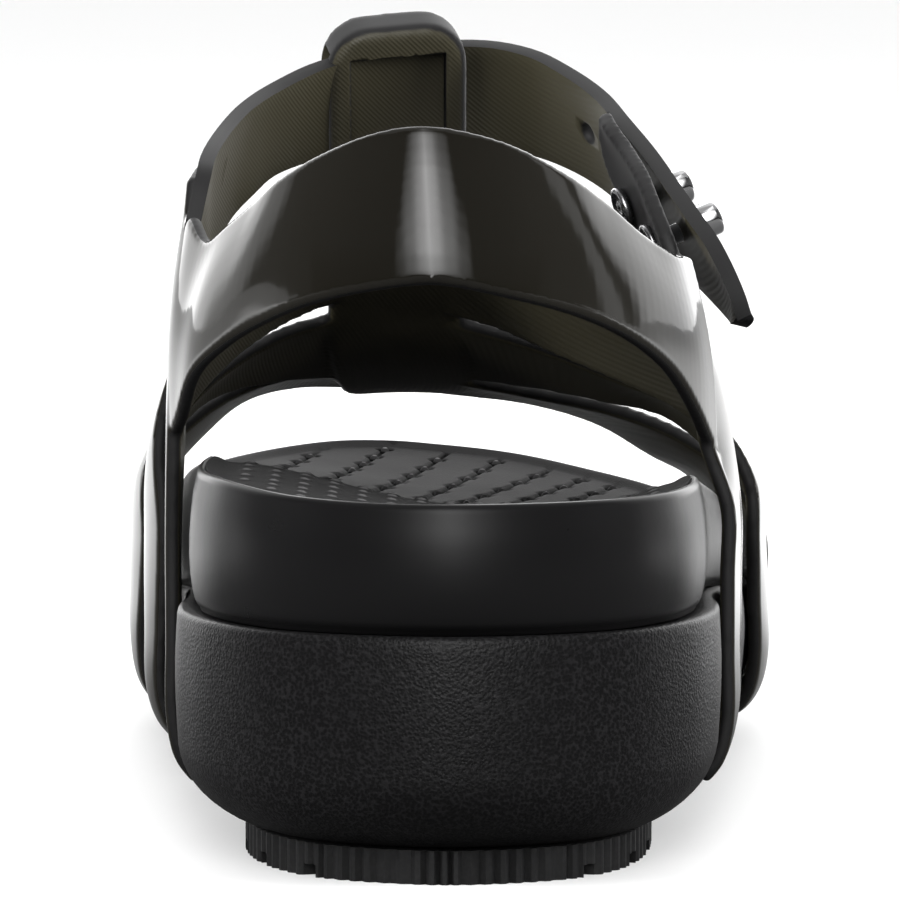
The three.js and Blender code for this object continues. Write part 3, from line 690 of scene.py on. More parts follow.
medial_rear_rows = rows(STRAP_COLUMNS, [
    [0.492, -0.31, 0.773, 0.565, -0.336, 0.577],
    [0.461, -0.545, 0.681, 0.531, -0.559, 0.505],
    [0.419, -0.776, 0.566, 0.492, -0.787, 0.39],
    [0.388, -0.954, 0.434, 0.465, -0.964, 0.253],
    [0.377, -1.06, 0.284, 0.461, -1.06, 0.14],
    [0.377, -1.12, 0.128, 0.463, -1.09, 0.06],
    [0.38, -1, -0.15, 0.465, -1, -0.15],
    [0.388, -1, -0.5, 0.462, -1, -0.5],
    [0.395, -1, -0.76, 0.457, -1, -0.76],
    [0.398, -1, -0.89, 0.455, -1, -0.89],
    [0.4, -1, -0.97, 0.453, -1, -0.97],
])
lateral_rear_rows = rows(STRAP_COLUMNS, [
    [0.488, -0.067, 0.77, 0.573, -0.02, 0.54],
    [0.465, 0.181, 0.683, 0.546, 0.177, 0.487],
    [0.435, 0.395, 0.595, 0.5, 0.396, 0.398],
    [0.396, 0.612, 0.503, 0.435, 0.642, 0.292],
    [0.358, 0.795, 0.425, 0.373, 0.869, 0.197],
    [0.323, 0.925, 0.358, 0.331, 1.012, 0.122],
])
medial_middle_rows = rows(STRAP_COLUMNS, [
    [0.585, -0.33, 0.54, 0.704, -0.347, 0.376],
    [0.561, -0.568, 0.484, 0.665, -0.592, 0.372],
    [0.538, -0.79, 0.383, 0.631, -0.786, 0.342],
    [0.529, -0.96, 0.26, 0.608, -0.9, 0.28],
    [0.531, -1.06, 0.106, 0.615, -1.035, 0.12],
    [0.54, -1, -0.1, 0.635, -1, -0.1],
    [0.555, -1, -0.35, 0.655, -1, -0.35],
    [0.57, -1, -0.6, 0.66, -1, -0.6],
    [0.58, -1, -0.8, 0.66, -1, -0.8],
    [0.585, -1, -0.9, 0.66, -1, -0.9],
    [0.588, -1, -0.97, 0.66, -1, -0.97],
])
lateral_middle_rows = rows(STRAP_COLUMNS, [
    [0.58, -0.04, 0.53, 0.7, 0, 0.38],
    [0.561, 0.288, 0.456, 0.677, 0.265, 0.359],
    [0.527, 0.56, 0.369, 0.627, 0.53, 0.326],
    [0.492, 0.81, 0.287, 0.577, 0.765, 0.273],
    [0.473, 0.98, 0.197, 0.561, 0.945, 0.156],
    [0.473, 1.09, 0.06, 0.567, 1.045, 0.06],
    [0.479, 1, -0.15, 0.585, 1, -0.15],
    [0.5, 1, -0.4, 0.61, 1, -0.4],
    [0.52, 1, -0.65, 0.63, 1, -0.65],
    [0.533, 1, -0.82, 0.64, 1, -0.82],
    [0.54, 1, -0.91, 0.645, 1, -0.91],
    [0.545, 1, -0.97, 0.648, 1, -0.97],
])
medial_toe_rows = rows(STRAP_COLUMNS, [
    [0.696, -0.286, 0.388, 0.788, -0.286, 0.318],
    [0.677, -0.53, 0.386, 0.788, -0.551, 0.318],
    [0.654, -0.735, 0.341, 0.796, -0.735, 0.275],
    [0.623, -0.908, 0.248, 0.804, -0.88, 0.18],
    [0.6, -1.04, 0.12, 0.804, -0.995, 0.075],
    [0.597, -1, -0.1, 0.797, -1, -0.1],
    [0.6, -1, -0.35, 0.782, -1, -0.35],
    [0.607, -1, -0.6, 0.765, -1, -0.6],
    [0.613, -1, -0.8, 0.752, -1, -0.8],
    [0.617, -1, -0.9, 0.745, -1, -0.9],
    [0.62, -1, -0.97, 0.74, -1, -0.97],
])
lateral_toe_rows = rows(STRAP_COLUMNS, [
    [0.704, -0.04, 0.373, 0.79, -0.04, 0.303],
    [0.685, 0.312, 0.328, 0.788, 0.286, 0.275],
    [0.654, 0.59, 0.287, 0.794, 0.53, 0.215],
    [0.627, 0.8, 0.222, 0.802, 0.71, 0.13],
    [0.605, 0.98, 0.11, 0.802, 0.86, 0.065],
    [0.597, 1, -0.1, 0.797, 1, -0.1],
    [0.6, 1, -0.35, 0.782, 1, -0.35],
    [0.605, 1, -0.6, 0.765, 1, -0.6],
    [0.61, 1, -0.8, 0.752, 1, -0.8],
    [0.613, 1, -0.9, 0.745, 1, -0.9],
    [0.615, 1, -0.97, 0.74, 1, -0.97],
])


# %% A strap's skin
def cage_place(along, across, level):
    y = along * SOLE_LENGTH
    if level > 0:
        return Vector((across * spread(along), y, top_height(y) + level * INSTEP_RISE))
    side = -1 if across < 0 else 1
    z = mix(top_height(y), foam_bottom(y), -level)
    height = min(CORNER_HEIGHT, z - foam_bottom(y))
    tuck = LEG_TUCK * CORNER_REACH * (1 - math.sqrt(1 - (1 - height / CORNER_HEIGHT) ** 2))
    point, outward = outline_at(side, y)
    skin = point + outward * (SIDE_CLEARANCE + WALL - tuck)
    return Vector((skin.x, skin.y, z))


class Strap:
    """A strap's outer skin between two smooth edges, with a middle line so that it follows the sole."""

    def __init__(self, table, crown):
        def half(row, name):
            return (row["a" + name] + row["b" + name]) / 2

        def line(value):
            return SmoothCurve([cage_place(*(value(row, name) for name in ("Along", "Across", "Level")))
                                for row in table])

        self.a = line(lambda row, name: row["a" + name])
        self.b = line(lambda row, name: row["b" + name])
        self.m = line(half)
        self.crown = crown
        self.sign = 1
        total = 0
        for index in range(21):
            point, normal = self.skin(index / 20, 0.5)
            inside = Vector((0, clamp(point.y, 0.25 * SOLE_LENGTH, SOLE_LENGTH), HEEL_STACK))
            total += normal.dot(point - inside)
        self.sign = 1 if total > 0 else -1

    def through(self, share, values):
        first, second, third = values
        weights = (1 - share) * (1 - 2 * share), 4 * share * (1 - share), share * (2 * share - 1)
        return first * weights[0] + second * weights[1] + third * weights[2]

    def skin(self, t, share):
        """The point of the outer skin and its outward normal."""
        ends = [curve.point(t) for curve in (self.a, self.m, self.b)]
        ways = [curve.way(t) for curve in (self.a, self.m, self.b)]
        point = self.through(share, ends)
        across = self.through(share + 0.01, ends) - self.through(share - 0.01, ends)
        normal = self.through(share, ways).cross(across).normalized() * self.sign
        bulge = self.crown * math.sin(math.pi * clamp(share))
        return point + normal * bulge, normal


BAND_CROWN = 1.2 * MM
STRAP_CROWN = 0.5 * MM
straps = {
    "heel_band": Strap(heel_band_rows, BAND_CROWN),
    "medial_panel": Strap(medial_panel_rows, STRAP_CROWN),
    "lateral_panel": Strap(lateral_panel_rows, STRAP_CROWN),
    "ankle_strap": Strap(ankle_strap_rows, STRAP_CROWN),
    "tab": Strap(tab_rows, STRAP_CROWN),
    "central_strap": Strap(central_strap_rows, STRAP_CROWN),
    "medial_rear": Strap(medial_rear_rows, STRAP_CROWN),
    "lateral_rear": Strap(lateral_rear_rows, STRAP_CROWN),
    "medial_middle": Strap(medial_middle_rows, STRAP_CROWN),
    "lateral_middle": Strap(lateral_middle_rows, STRAP_CROWN),
    "medial_toe": Strap(medial_toe_rows, STRAP_CROWN),
    "lateral_toe": Strap(lateral_toe_rows, STRAP_CROWN),
}
print("straps", len(straps))

# %% [markdown]
# ## From skin to wall
# Each strap starts as a flat grid that is laid on its skin. The solidify operator gives it the wall's
# thickness towards the foot, and a bevel rounds its edges before everything is melted together.


# %% Strap bodies
EDGE_ROUND = 0.85 * MM


def strap_run(strap, steps=40):
    points = [strap.m.point(index / steps) for index in range(steps + 1)]
    return sum((b - a).length for a, b in zip(points, points[1:]))


def strap_width(strap):
    return sum((strap.a.point(t) - strap.b.point(t)).length for t in (0.2, 0.5, 0.8)) / 3


def skin_grid(bm, strap, cell):
    steps = max(12, round(strap_run(strap) / cell))
    across = max(4, round(strap_width(strap) / cell))
    made = bmesh.ops.create_grid(bm, x_segments=across, y_segments=steps, size=0.5)["verts"]
    for vertex in made:
        vertex.co = strap.skin(vertex.co.y + 0.5, vertex.co.x + 0.5)[0] + TO_FRAME
    return made


def turn_outwards(bm, strap, faces):
    bmesh.ops.recalc_face_normals(bm, faces=faces)
    centre, outward = strap.skin(0.5, 0.5)
    middle = min(faces, key=lambda face: (face.calc_center_median() - centre - TO_FRAME).length)
    if middle.normal.dot(outward) < 0:
        bmesh.ops.reverse_faces(bm, faces=faces)


def strap_body(name, cell=2 * MM):
    strap = straps[name]
    bm = bmesh.new()
    skin_grid(bm, strap, cell)
    turn_outwards(bm, strap, bm.faces[:])
    bmesh.ops.solidify(bm, geom=bm.faces, thickness=WALL)
    bmesh.ops.recalc_face_normals(bm, faces=bm.faces)
    rim = [edge for edge in bm.edges if len(edge.link_faces) == 2 and edge.calc_face_angle() > 1.0]
    bmesh.ops.bevel(bm, geom=rim, offset=EDGE_ROUND, offset_type="OFFSET", segments=4, profile=0.5,
                    affect="EDGES", material=-1, clamp_overlap=True)
    return finished("body_" + name, bm)


bodies = {name: strap_body(name) for name in straps}

# %% [markdown]
# ## Keeper loop
# At the top of the central strap the moulding turns into a loop that the ankle strap slides through. It is
# a block whose upper corners and edges are bevelled round, with a slot and a window cut through it.

# %% Keeper loop
LOOP_WIDTH = 22.3 * MM
LOOP_HEIGHT = 24.5 * MM
LOOP_DEPTH = 7.8 * MM
LOOP_CORNER = 7 * MM
LOOP_TOP = 4.1 * MM
LOOP_TURN = 0.23
SLOT_HEIGHT = 18.8 * MM
SLOT_DEPTH = 3.6 * MM
WINDOW_WIDTH = 15.2 * MM
WINDOW_HEIGHT = 16 * MM


def loop_frame():
    upper = cage_place(0.435, -0.209, 1.108)
    lower = cage_place(0.461, -0.205, 0.88)
    up = (upper - lower).normalized()
    along = Vector((-math.cos(LOOP_TURN), -math.sin(LOOP_TURN), 0))
    right = (along - up * along.dot(up)).normalized()
    out = right.cross(up)
    turn = Matrix((right, up, out)).transposed().to_4x4()
    return Matrix.Translation((upper + lower) / 2 + TO_FRAME) @ turn


def block(bm, size, middle):
    place = loop_frame() @ Matrix.Translation(middle) @ Matrix.Diagonal((*size, 1))
    return bmesh.ops.create_cube(bm, size=1, matrix=place)["verts"]


def edges_between(verts):
    chosen = set(verts)
    touching = {edge for vertex in verts for edge in vertex.link_edges}
    return [edge for edge in touching if set(edge.verts) <= chosen]


def keeper_body():
    out_face = (LOOP_DEPTH - SLOT_DEPTH) / 2 + 0.9 * MM
    top = SLOT_HEIGHT / 2 + LOOP_TOP
    bm = bmesh.new()
    middle = (0, top - LOOP_HEIGHT / 2, out_face - LOOP_DEPTH / 2)
    verts = block(bm, (LOOP_WIDTH, LOOP_HEIGHT, LOOP_DEPTH), middle)
    home = loop_frame().inverted()
    local = {vertex: home @ vertex.co for vertex in verts}
    corners = [edge for edge in edges_between(verts)
               if all(local[v].y > 0 for v in edge.verts)
               and abs(local[edge.verts[0]].x - local[edge.verts[1]].x) < MM
               and abs(local[edge.verts[0]].z - local[edge.verts[1]].z) > MM]
    bmesh.ops.bevel(bm, geom=corners, offset=LOOP_CORNER, offset_type="OFFSET", segments=10, profile=0.5,
                    affect="EDGES", material=-1)
    sharp = [edge for edge in bm.edges if len(edge.link_faces) == 2 and edge.calc_face_angle() > 1.0]
    bmesh.ops.bevel(bm, geom=sharp, offset=1.5 * MM, offset_type="OFFSET", segments=4, profile=0.5,
                    affect="EDGES", material=-1)
    bmesh.ops.recalc_face_normals(bm, faces=bm.faces)
    return finished("body_keeper", bm)


def keeper_cutters():
    slot_middle = -WALL / 2 + STRAP_CROWN / 2
    bm = bmesh.new()
    block(bm, (2 * LOOP_WIDTH, SLOT_HEIGHT, SLOT_DEPTH), (0, 0, slot_middle))
    block(bm, (WINDOW_WIDTH, WINDOW_HEIGHT, LOOP_DEPTH),
          (0, (SLOT_HEIGHT - WINDOW_HEIGHT) / 2 - 0.6 * MM, slot_middle - LOOP_DEPTH / 2))
    return finished("keeper_cutters", bm)


# %% [markdown]
# ## Melting the straps into one moulding
# A moulded cage has soft inner corners where straps meet. The bodies are joined, a voxel remesh melts them
# into one skin, and a few smoothing passes turn its steps into small fillets. Then the skin is drawn back
# onto the clean straps, so that the gloss stays even. The cage is made in a rear and a front half and a
# separate ankle strap, because that strap has to stay free inside the keeper loop and over the tab.

# %% Melt
REAR_CELL = 0.5 * MM
FRONT_CELL = 0.76 * MM
PASSES_BEFORE_WRAP = 4
PASSES_AFTER_WRAP = 3


def joined(name, pieces):
    bm = bmesh.new()
    for piece in pieces:
        bm.from_mesh(piece.data)
        bpy.data.objects.remove(piece)
    return finished(name, bm)


def melted(name, pieces, cell):
    piece = joined(name, pieces)
    clean = bpy.data.objects.new("clean_straps", piece.data.copy())
    bpy.context.collection.objects.link(clean)
    melt = piece.modifiers.new("melt", "REMESH")
    melt.mode = "VOXEL"
    melt.voxel_size = cell
    melt.use_smooth_shade = True
    keep_result(piece)
    soften(piece, PASSES_BEFORE_WRAP)
    wrap = piece.modifiers.new("wrap", "SHRINKWRAP")
    wrap.target = clean
    wrap.wrap_method = "NEAREST_SURFACEPOINT"
    bpy.context.view_layer.update()
    keep_result(piece)
    bpy.data.objects.remove(clean)
    soften(piece, PASSES_AFTER_WRAP)
    print(name, "triangles", sum(len(p.vertices) - 2 for p in piece.data.polygons))
    return piece


def soften(piece, passes):
    bm = bmesh.new()
    bm.from_mesh(piece.data)
    for _ in range(passes):
        bmesh.ops.smooth_vert(bm, verts=bm.verts, factor=0.5,
                              use_axis_x=True, use_axis_y=True, use_axis_z=True)
    bm.to_mesh(piece.data)
    bm.free()
    for polygon in piece.data.polygons:
        polygon.use_smooth = True


rear_names = ["heel_band", "medial_panel", "lateral_panel", "tab"]
front_names = [name for name in straps if name not in (*rear_names, "ankle_strap")]
cage_rear = melted("cage_rear", [bodies[name] for name in rear_names], REAR_CELL)
ankle_strap = joined("ankle_strap", [bodies["ankle_strap"]])
cage_front = melted("cage_front", [keeper_body(), *[bodies[name] for name in front_names]], FRONT_CELL)
cut(cage_front, keeper_cutters())

# %% [markdown]
# ## Spare hole, studs and discs
# Two chromed studs hold the ankle strap to the tab under it, and a spare hole beside them takes a stud on a
# wider fit. A stud and its disc are turned parts, so each is a short profile that is spun about its axis.
# The depth of the disc is measured by shooting a ray through the strap and the tab.

# %% Places along the ankle strap
STUD_PLACES = {"front": 0.674, "rear": 0.732}
SPARE_HOLE_PLACE = 0.558
HEAD_RADIUS = 2.7 * MM
HEAD_HEIGHT = 4.3 * MM
SHANK_RADIUS = 1.5 * MM
DISC_RADIUS = 3.3 * MM
DISC_THICKNESS = 1.2 * MM


def seat(share):
    point, normal = straps["ankle_strap"].skin(share, 0.5)
    return point + TO_FRAME, normal


def seat_matrix(share):
    point, normal = seat(share)
    return Matrix.Translation(point) @ Vector((0, 0, 1)).rotation_difference(normal).to_matrix().to_4x4()


def skin_tree(names):
    bm = bmesh.new()
    for name in names:
        strap = straps[name]
        fresh = skin_grid(bm, strap, 2.5 * MM)
        faces = list({face for vertex in fresh for face in vertex.link_faces})
        turn_outwards(bm, strap, faces)
    tree = BVHTree.FromBMesh(bm)
    bm.free()
    return tree


def depth_under(tree, share):
    """How deep the inner face of the tab lies under the strap's skin."""
    point, normal = seat(share)
    _, tab_normal, _, distance = tree.ray_cast(point, -normal, 8 * WALL)
    return distance + WALL / abs(tab_normal.dot(normal))


tab_tree = skin_tree(["tab"])
stud_depths = {name: depth_under(tab_tree, share) for name, share in STUD_PLACES.items()}
print("stud depths in mm", {name: round(depth / MM, 2) for name, depth in stud_depths.items()})


# %% Turned parts
def turned(name, profile_points, place, steps=48):
    bm = bmesh.new()
    line = [bm.verts.new((radius, 0, height)) for radius, height in profile_points]
    edges = [bm.edges.new(pair) for pair in zip(line, line[1:])]
    bmesh.ops.spin(bm, geom=line + edges, cent=(0, 0, 0), axis=(0, 0, 1), angle=2 * math.pi, steps=steps,
                   use_merge=True, use_duplicate=False)
    bmesh.ops.remove_doubles(bm, verts=bm.verts, dist=0.001 * MM)
    bmesh.ops.recalc_face_normals(bm, faces=bm.faces)
    bmesh.ops.transform(bm, matrix=place, verts=bm.verts)
    return finished(name, bm)


def stud(name):
    depth = stud_depths[name]
    foot = 0.05 * MM
    top = foot + HEAD_HEIGHT
    profile_points = [
        (0, -depth), (SHANK_RADIUS, -depth), (SHANK_RADIUS, foot), (HEAD_RADIUS - 0.35 * MM, foot),
        (HEAD_RADIUS - 0.1 * MM, foot + 0.12 * MM), (HEAD_RADIUS, foot + 0.4 * MM),
        (HEAD_RADIUS, top - 0.9 * MM),
        (HEAD_RADIUS - 0.06 * MM, top - 0.6 * MM), (HEAD_RADIUS - 0.26 * MM, top - 0.3 * MM),
        (HEAD_RADIUS - 0.6 * MM, top - 0.1 * MM), (HEAD_RADIUS - 1 * MM, top - 0.02 * MM),
        (0, top + 0.06 * MM),
    ]
    return turned("stud_head_" + name, profile_points, seat_matrix(STUD_PLACES[name]))


def disc(name):
    top = -stud_depths[name] - 0.05 * MM
    low = top - DISC_THICKNESS
    profile_points = [
        (0, top), (DISC_RADIUS - 0.3 * MM, top), (DISC_RADIUS, top - 0.3 * MM),
        (DISC_RADIUS, low + 0.35 * MM),
        (DISC_RADIUS - 0.15 * MM, low + 0.1 * MM), (DISC_RADIUS - 0.45 * MM, low),
        (DISC_RADIUS - 0.75 * MM, low + 0.12 * MM),
        (DISC_RADIUS - 0.95 * MM, low + 0.5 * MM), (1.5 * MM, low + 0.6 * MM), (1.3 * MM, low + 0.3 * MM),
        (1.05 * MM, low + 0.15 * MM), (0.6 * MM, low + 0.2 * MM), (0.4 * MM, low + 0.55 * MM),
        (0, low + 0.6 * MM),
    ]
    return turned("disc_" + name, profile_points, seat_matrix(STUD_PLACES[name]))


studs = {name: stud(name) for name in STUD_PLACES}
discs = {name: disc(name) for name in STUD_PLACES}


# %% Spare hole
def hole_bar():
    bm = bmesh.new()
    bmesh.ops.create_cone(bm, cap_ends=True, segments=32, radius1=1.8 * MM, radius2=1.8 * MM, depth=4 * WALL,
                          matrix=seat_matrix(SPARE_HOLE_PLACE))
    return finished("hole_bar", bm)


cut(ankle_strap, hole_bar())

# %% [markdown]
# ## Which way a surface faces
# The cage is glossy outside, ribbed and olive inside, and satin on its cut edges. One number for each
# vertex tells them apart: how far its normal agrees with the outward normal of the nearest strap.


# %% Facing attribute
def mark_facing(piece, names):
    tree = skin_tree(names)
    mesh = piece.data
    facing = mesh.attributes.new("facing", "FLOAT", "POINT")
    values = []
    for vertex in mesh.vertices:
        _, normal, _, reach = tree.find_nearest(vertex.co)
        on_tab = tab_tree.find_nearest(vertex.co)[3] < reach + 0.01 * MM and "tab" in names
        value = vertex.normal.dot(normal)
        values.append(clamp(value, -0.6, 0.5) if on_tab else value)
    facing.data.foreach_set("value", values)
    outside = sum(value > 0.7 for value in values) / len(values)
    print(piece.name, "share facing out", round(outside, 2))


mark_facing(cage_rear, rear_names)
mark_facing(ankle_strap, ["ankle_strap"])
mark_facing(cage_front, front_names)

# %% [markdown]
# # Finishes
# Every finish here is nearly black, so it is told by its gloss and its grain: a glossy smoky plastic, a
# leathery foam skin, a satin footbed, a dull tread and chromed metal. Small effects that several of them
# share are shader groups with their own inputs.


# %% Small helpers for materials
class Finish:
    def __init__(self, name):
        self.material = bpy.data.materials.new(name)
        self.material.use_nodes = True
        self.tree = self.material.node_tree
        self.shader = self.tree.nodes["Principled BSDF"]

    def node(self, kind, **inputs):
        node = self.tree.nodes.new(kind)
        for name, value in inputs.items():
            node.inputs[name.replace("_", " ")].default_value = value
        return node

    def group(self, group, **inputs):
        node = self.tree.nodes.new("ShaderNodeGroup")
        node.node_tree = group
        for name, value in inputs.items():
            node.inputs[name.replace("_", " ")].default_value = value
        return node

    def link(self, start, end):
        self.tree.links.new(start, end)

    def set(self, **values):
        for name, value in values.items():
            self.shader.inputs[name.replace("_", " ")].default_value = value


def new_group(name, inputs, outputs):
    tree = bpy.data.node_groups.new(name, "ShaderNodeTree")
    for label, kind, value in inputs:
        socket = tree.interface.new_socket(name=label, in_out="INPUT", socket_type=kind)
        socket.default_value = value
    for label, kind in outputs:
        tree.interface.new_socket(name=label, in_out="OUTPUT", socket_type=kind)
    return tree, tree.nodes.new("NodeGroupInput"), tree.nodes.new("NodeGroupOutput")


def math_node(tree, operation, first, second=None):
    node = tree.nodes.new("ShaderNodeMath")
    node.operation = operation
    for index, value in enumerate([first, second]):
        if value is None:
            continue
        if isinstance(value, (int, float)):
            node.inputs[index].default_value = value
        else:
            tree.links.new(value, node.inputs[index])
    return node.outputs[0]


# %% [markdown]
# ## Grain group
# A moulded foam skin copies a leather-like grain from its mould: small soft cells, a little uneven. Cells
# from a Voronoi texture with noise over them give the height, at a pitch of under a millimetre.

# %% Grain group
FLOAT, VECTOR = "NodeSocketFloat", "NodeSocketVector"


def grain_group():
    tree, given, result = new_group(
        "grain", [("Cells per metre", FLOAT, 1000.0), ("Depth", FLOAT, 0.3), ("Size", FLOAT, 0.0002)],
        [("Height", FLOAT), ("Normal", VECTOR), ("Spots", FLOAT)])
    place = tree.nodes.new("ShaderNodeTexCoord")
    cells = tree.nodes.new("ShaderNodeTexVoronoi")
    cells.feature = "SMOOTH_F1"
    cells.inputs["Smoothness"].default_value = 0.5
    fine = tree.nodes.new("ShaderNodeTexNoise")
    fine.inputs["Detail"].default_value = 3.0
    for texture, factor in ((cells, 1.0), (fine, 1.7)):
        tree.links.new(place.outputs["Object"], texture.inputs["Vector"])
        scale = math_node(tree, "MULTIPLY", given.outputs["Cells per metre"], factor)
        tree.links.new(scale, texture.inputs["Scale"])
    roughening = math_node(tree, "MULTIPLY", fine.outputs[0], 0.8)
    height = math_node(tree, "ADD", cells.outputs["Distance"], roughening)
    bump = tree.nodes.new("ShaderNodeBump")
    tree.links.new(height, bump.inputs["Height"])
    tree.links.new(given.outputs["Depth"], bump.inputs["Strength"])
    tree.links.new(given.outputs["Size"], bump.inputs["Distance"])
    tree.links.new(height, result.inputs["Height"])
    tree.links.new(bump.outputs[0], result.inputs["Normal"])
    tree.links.new(cells.outputs["Distance"], result.inputs["Spots"])
    return tree


grain = grain_group()

# %% [markdown]
# ## Clouding group
# No moulded black is even: handling and dust leave the gloss a little cloudy. This group gives a slow noise
# between two values, which goes into roughness.

# %% Clouding group


def clouding_group():
    tree, given, result = new_group(
        "clouding", [("Lowest", FLOAT, 0.1), ("Highest", FLOAT, 0.2), ("Scale", FLOAT, 60.0)],
        [("Value", FLOAT)])
    place = tree.nodes.new("ShaderNodeTexCoord")
    cloud = tree.nodes.new("ShaderNodeTexNoise")
    cloud.inputs["Detail"].default_value = 4.0
    tree.links.new(place.outputs["Object"], cloud.inputs["Vector"])
    tree.links.new(given.outputs["Scale"], cloud.inputs["Scale"])
    spread_range = tree.nodes.new("ShaderNodeMapRange")
    spread_range.inputs["From Min"].default_value = 0.15
    spread_range.inputs["From Max"].default_value = 0.85
    tree.links.new(cloud.outputs[0], spread_range.inputs["Value"])
    tree.links.new(given.outputs["Lowest"], spread_range.inputs["To Min"])
    tree.links.new(given.outputs["Highest"], spread_range.inputs["To Max"])
    tree.links.new(spread_range.outputs[0], result.inputs["Value"])
    return tree


clouding = clouding_group()

# %% [markdown]
# ## Fine ribs group
# The inner faces of the straps carry fine slanting ribs that keep them from sliding on the skin. A sine of
# the place along a slanting direction gives them.

# %% Fine ribs group


def ribs_group():
    tree, given, result = new_group(
        "fine_ribs", [("Ribs per metre", FLOAT, 1900.0), ("Slant", VECTOR, (0.6, 0.2, 0.75))],
        [("Height", FLOAT)])
    place = tree.nodes.new("ShaderNodeTexCoord")
    run = tree.nodes.new("ShaderNodeVectorMath")
    run.operation = "DOT_PRODUCT"
    tree.links.new(place.outputs["Object"], run.inputs[0])
    tree.links.new(given.outputs["Slant"], run.inputs[1])
    turns = math_node(tree, "MULTIPLY", run.outputs["Value"], given.outputs["Ribs per metre"])
    wave = math_node(tree, "SINE", math_node(tree, "MULTIPLY", turns, 2 * math.pi))
    tree.links.new(math_node(tree, "MULTIPLY_ADD", wave, 0.5), result.inputs["Height"])
    return tree


fine_ribs = ribs_group()

# %% [markdown]
# ## Cage plastic
# Outside the plastic is polished and almost black with a smoky olive depth. Inside it is olive and matte
# with its ribs, and the moulded edges are a satin grey-black. The facing attribute blends the three.


# %% Cage plastic
def blend_values(finish, start, end, mask):
    node = finish.node("ShaderNodeMix")
    node.data_type = "FLOAT"
    for value, socket in ((start, node.inputs[2]), (end, node.inputs[3])):
        if isinstance(value, (int, float)):
            socket.default_value = value
        else:
            finish.link(value, socket)
    finish.link(mask, node.inputs[0])
    return node.outputs[0]


def blend_colors(finish, start, end, mask):
    node = finish.node("ShaderNodeMix")
    node.data_type = "RGBA"
    for value, socket in ((start, node.inputs[6]), (end, node.inputs[7])):
        if isinstance(value, tuple):
            socket.default_value = (*value, 1)
        else:
            finish.link(value, socket)
    finish.link(mask, node.inputs[0])
    return node.outputs[2]


def mask_between(finish, value, low, high):
    node = finish.node("ShaderNodeMapRange")
    node.interpolation_type = "SMOOTHSTEP"
    node.inputs["From Min"].default_value = low
    node.inputs["From Max"].default_value = high
    finish.link(value, node.inputs["Value"])
    return node.outputs[0]


def cage_finish():
    finish = Finish("smoke_plastic")
    facing = finish.tree.nodes.new("ShaderNodeAttribute")
    facing.attribute_name = "facing"
    outside = mask_between(finish, facing.outputs["Fac"], 0.55, 0.8)
    inside = mask_between(finish, facing.outputs["Fac"], -0.6, -0.85)
    rim = (0.0065, 0.0063, 0.0066)
    color = blend_colors(finish, rim, (0.0075, 0.0068, 0.0052), outside)
    color = blend_colors(finish, color, (0.030, 0.027, 0.0165), inside)
    finish.link(color, finish.shader.inputs["Base Color"])
    gloss = finish.group(clouding, Lowest=0.05, Highest=0.085, Scale=45.0)
    rough = blend_values(finish, 0.6, gloss.outputs[0], outside)
    rough = blend_values(finish, rough, 0.52, inside)
    finish.link(rough, finish.shader.inputs["Roughness"])
    ribs = finish.group(fine_ribs)
    height = finish.tree.nodes.new("ShaderNodeMath")
    height.operation = "MULTIPLY"
    finish.link(ribs.outputs[0], height.inputs[0])
    finish.link(inside, height.inputs[1])
    bump = finish.node("ShaderNodeBump", Strength=0.35, Distance=0.00008)
    finish.link(height.outputs[0], bump.inputs["Height"])
    finish.link(bump.outputs[0], finish.shader.inputs["Normal"])
    finish.set(IOR=1.5)
    return finish.material


# %% [markdown]
# ## Foam, footbed, tread and metal
# The midsole's skin is grained and catches the side light on its grain. The footbed is smoother, with a
# satin side. The tread is dull rubber with a little dust, and the studs are chromed steel.


# %% Foam and rubber
def grained_finish(name, color, lowest, highest, cells, depth, size, shine, speck=0.0):
    finish = Finish(name)
    finish.set(Specular_IOR_Level=shine)
    skin = finish.group(grain, Cells_per_metre=cells, Depth=depth, Size=size)
    finish.link(skin.outputs["Normal"], finish.shader.inputs["Normal"])
    cloud = finish.group(clouding, Lowest=lowest, Highest=highest, Scale=90.0)
    finish.link(cloud.outputs[0], finish.shader.inputs["Roughness"])
    lighter = tuple(value * (1 + speck) for value in color)
    finish.link(blend_colors(finish, color, lighter, mask_between(finish, skin.outputs["Spots"], 0.35, 0.8)),
                finish.shader.inputs["Base Color"])
    finish.set(IOR=1.5)
    return finish.material


def cover_finish():
    finish = Finish("footbed_cover")
    relief = finish.tree.nodes.new("ShaderNodeAttribute")
    relief.attribute_name = "relief"
    # Painted shade and highlight: the pits are painted darker as shade, the beads and heel dots lighter as a
    # painted highlight.
    color = blend_colors(finish, (0.018, 0.0178, 0.018), (0.002, 0.002, 0.002),
                         mask_between(finish, relief.outputs["Fac"], -0.15, -0.55))
    color = blend_colors(finish, color, (0.085, 0.084, 0.085),
                         mask_between(finish, relief.outputs["Fac"], 0.12, 0.3))
    finish.link(color, finish.shader.inputs["Base Color"])
    skin = finish.group(grain, Cells_per_metre=2600.0, Depth=0.35, Size=0.00012)
    finish.link(skin.outputs["Normal"], finish.shader.inputs["Normal"])
    cloud = finish.group(clouding, Lowest=0.6, Highest=0.7, Scale=90.0)
    finish.link(cloud.outputs[0], finish.shader.inputs["Roughness"])
    finish.set(Specular_IOR_Level=0.03, IOR=1.5)
    return finish.material


def metal_finish(name, color, lowest, highest):
    finish = Finish(name)
    finish.set(Base_Color=(*color, 1), Metallic=1.0)
    cloud = finish.group(clouding, Lowest=lowest, Highest=highest, Scale=900.0)
    finish.link(cloud.outputs[0], finish.shader.inputs["Roughness"])
    return finish.material


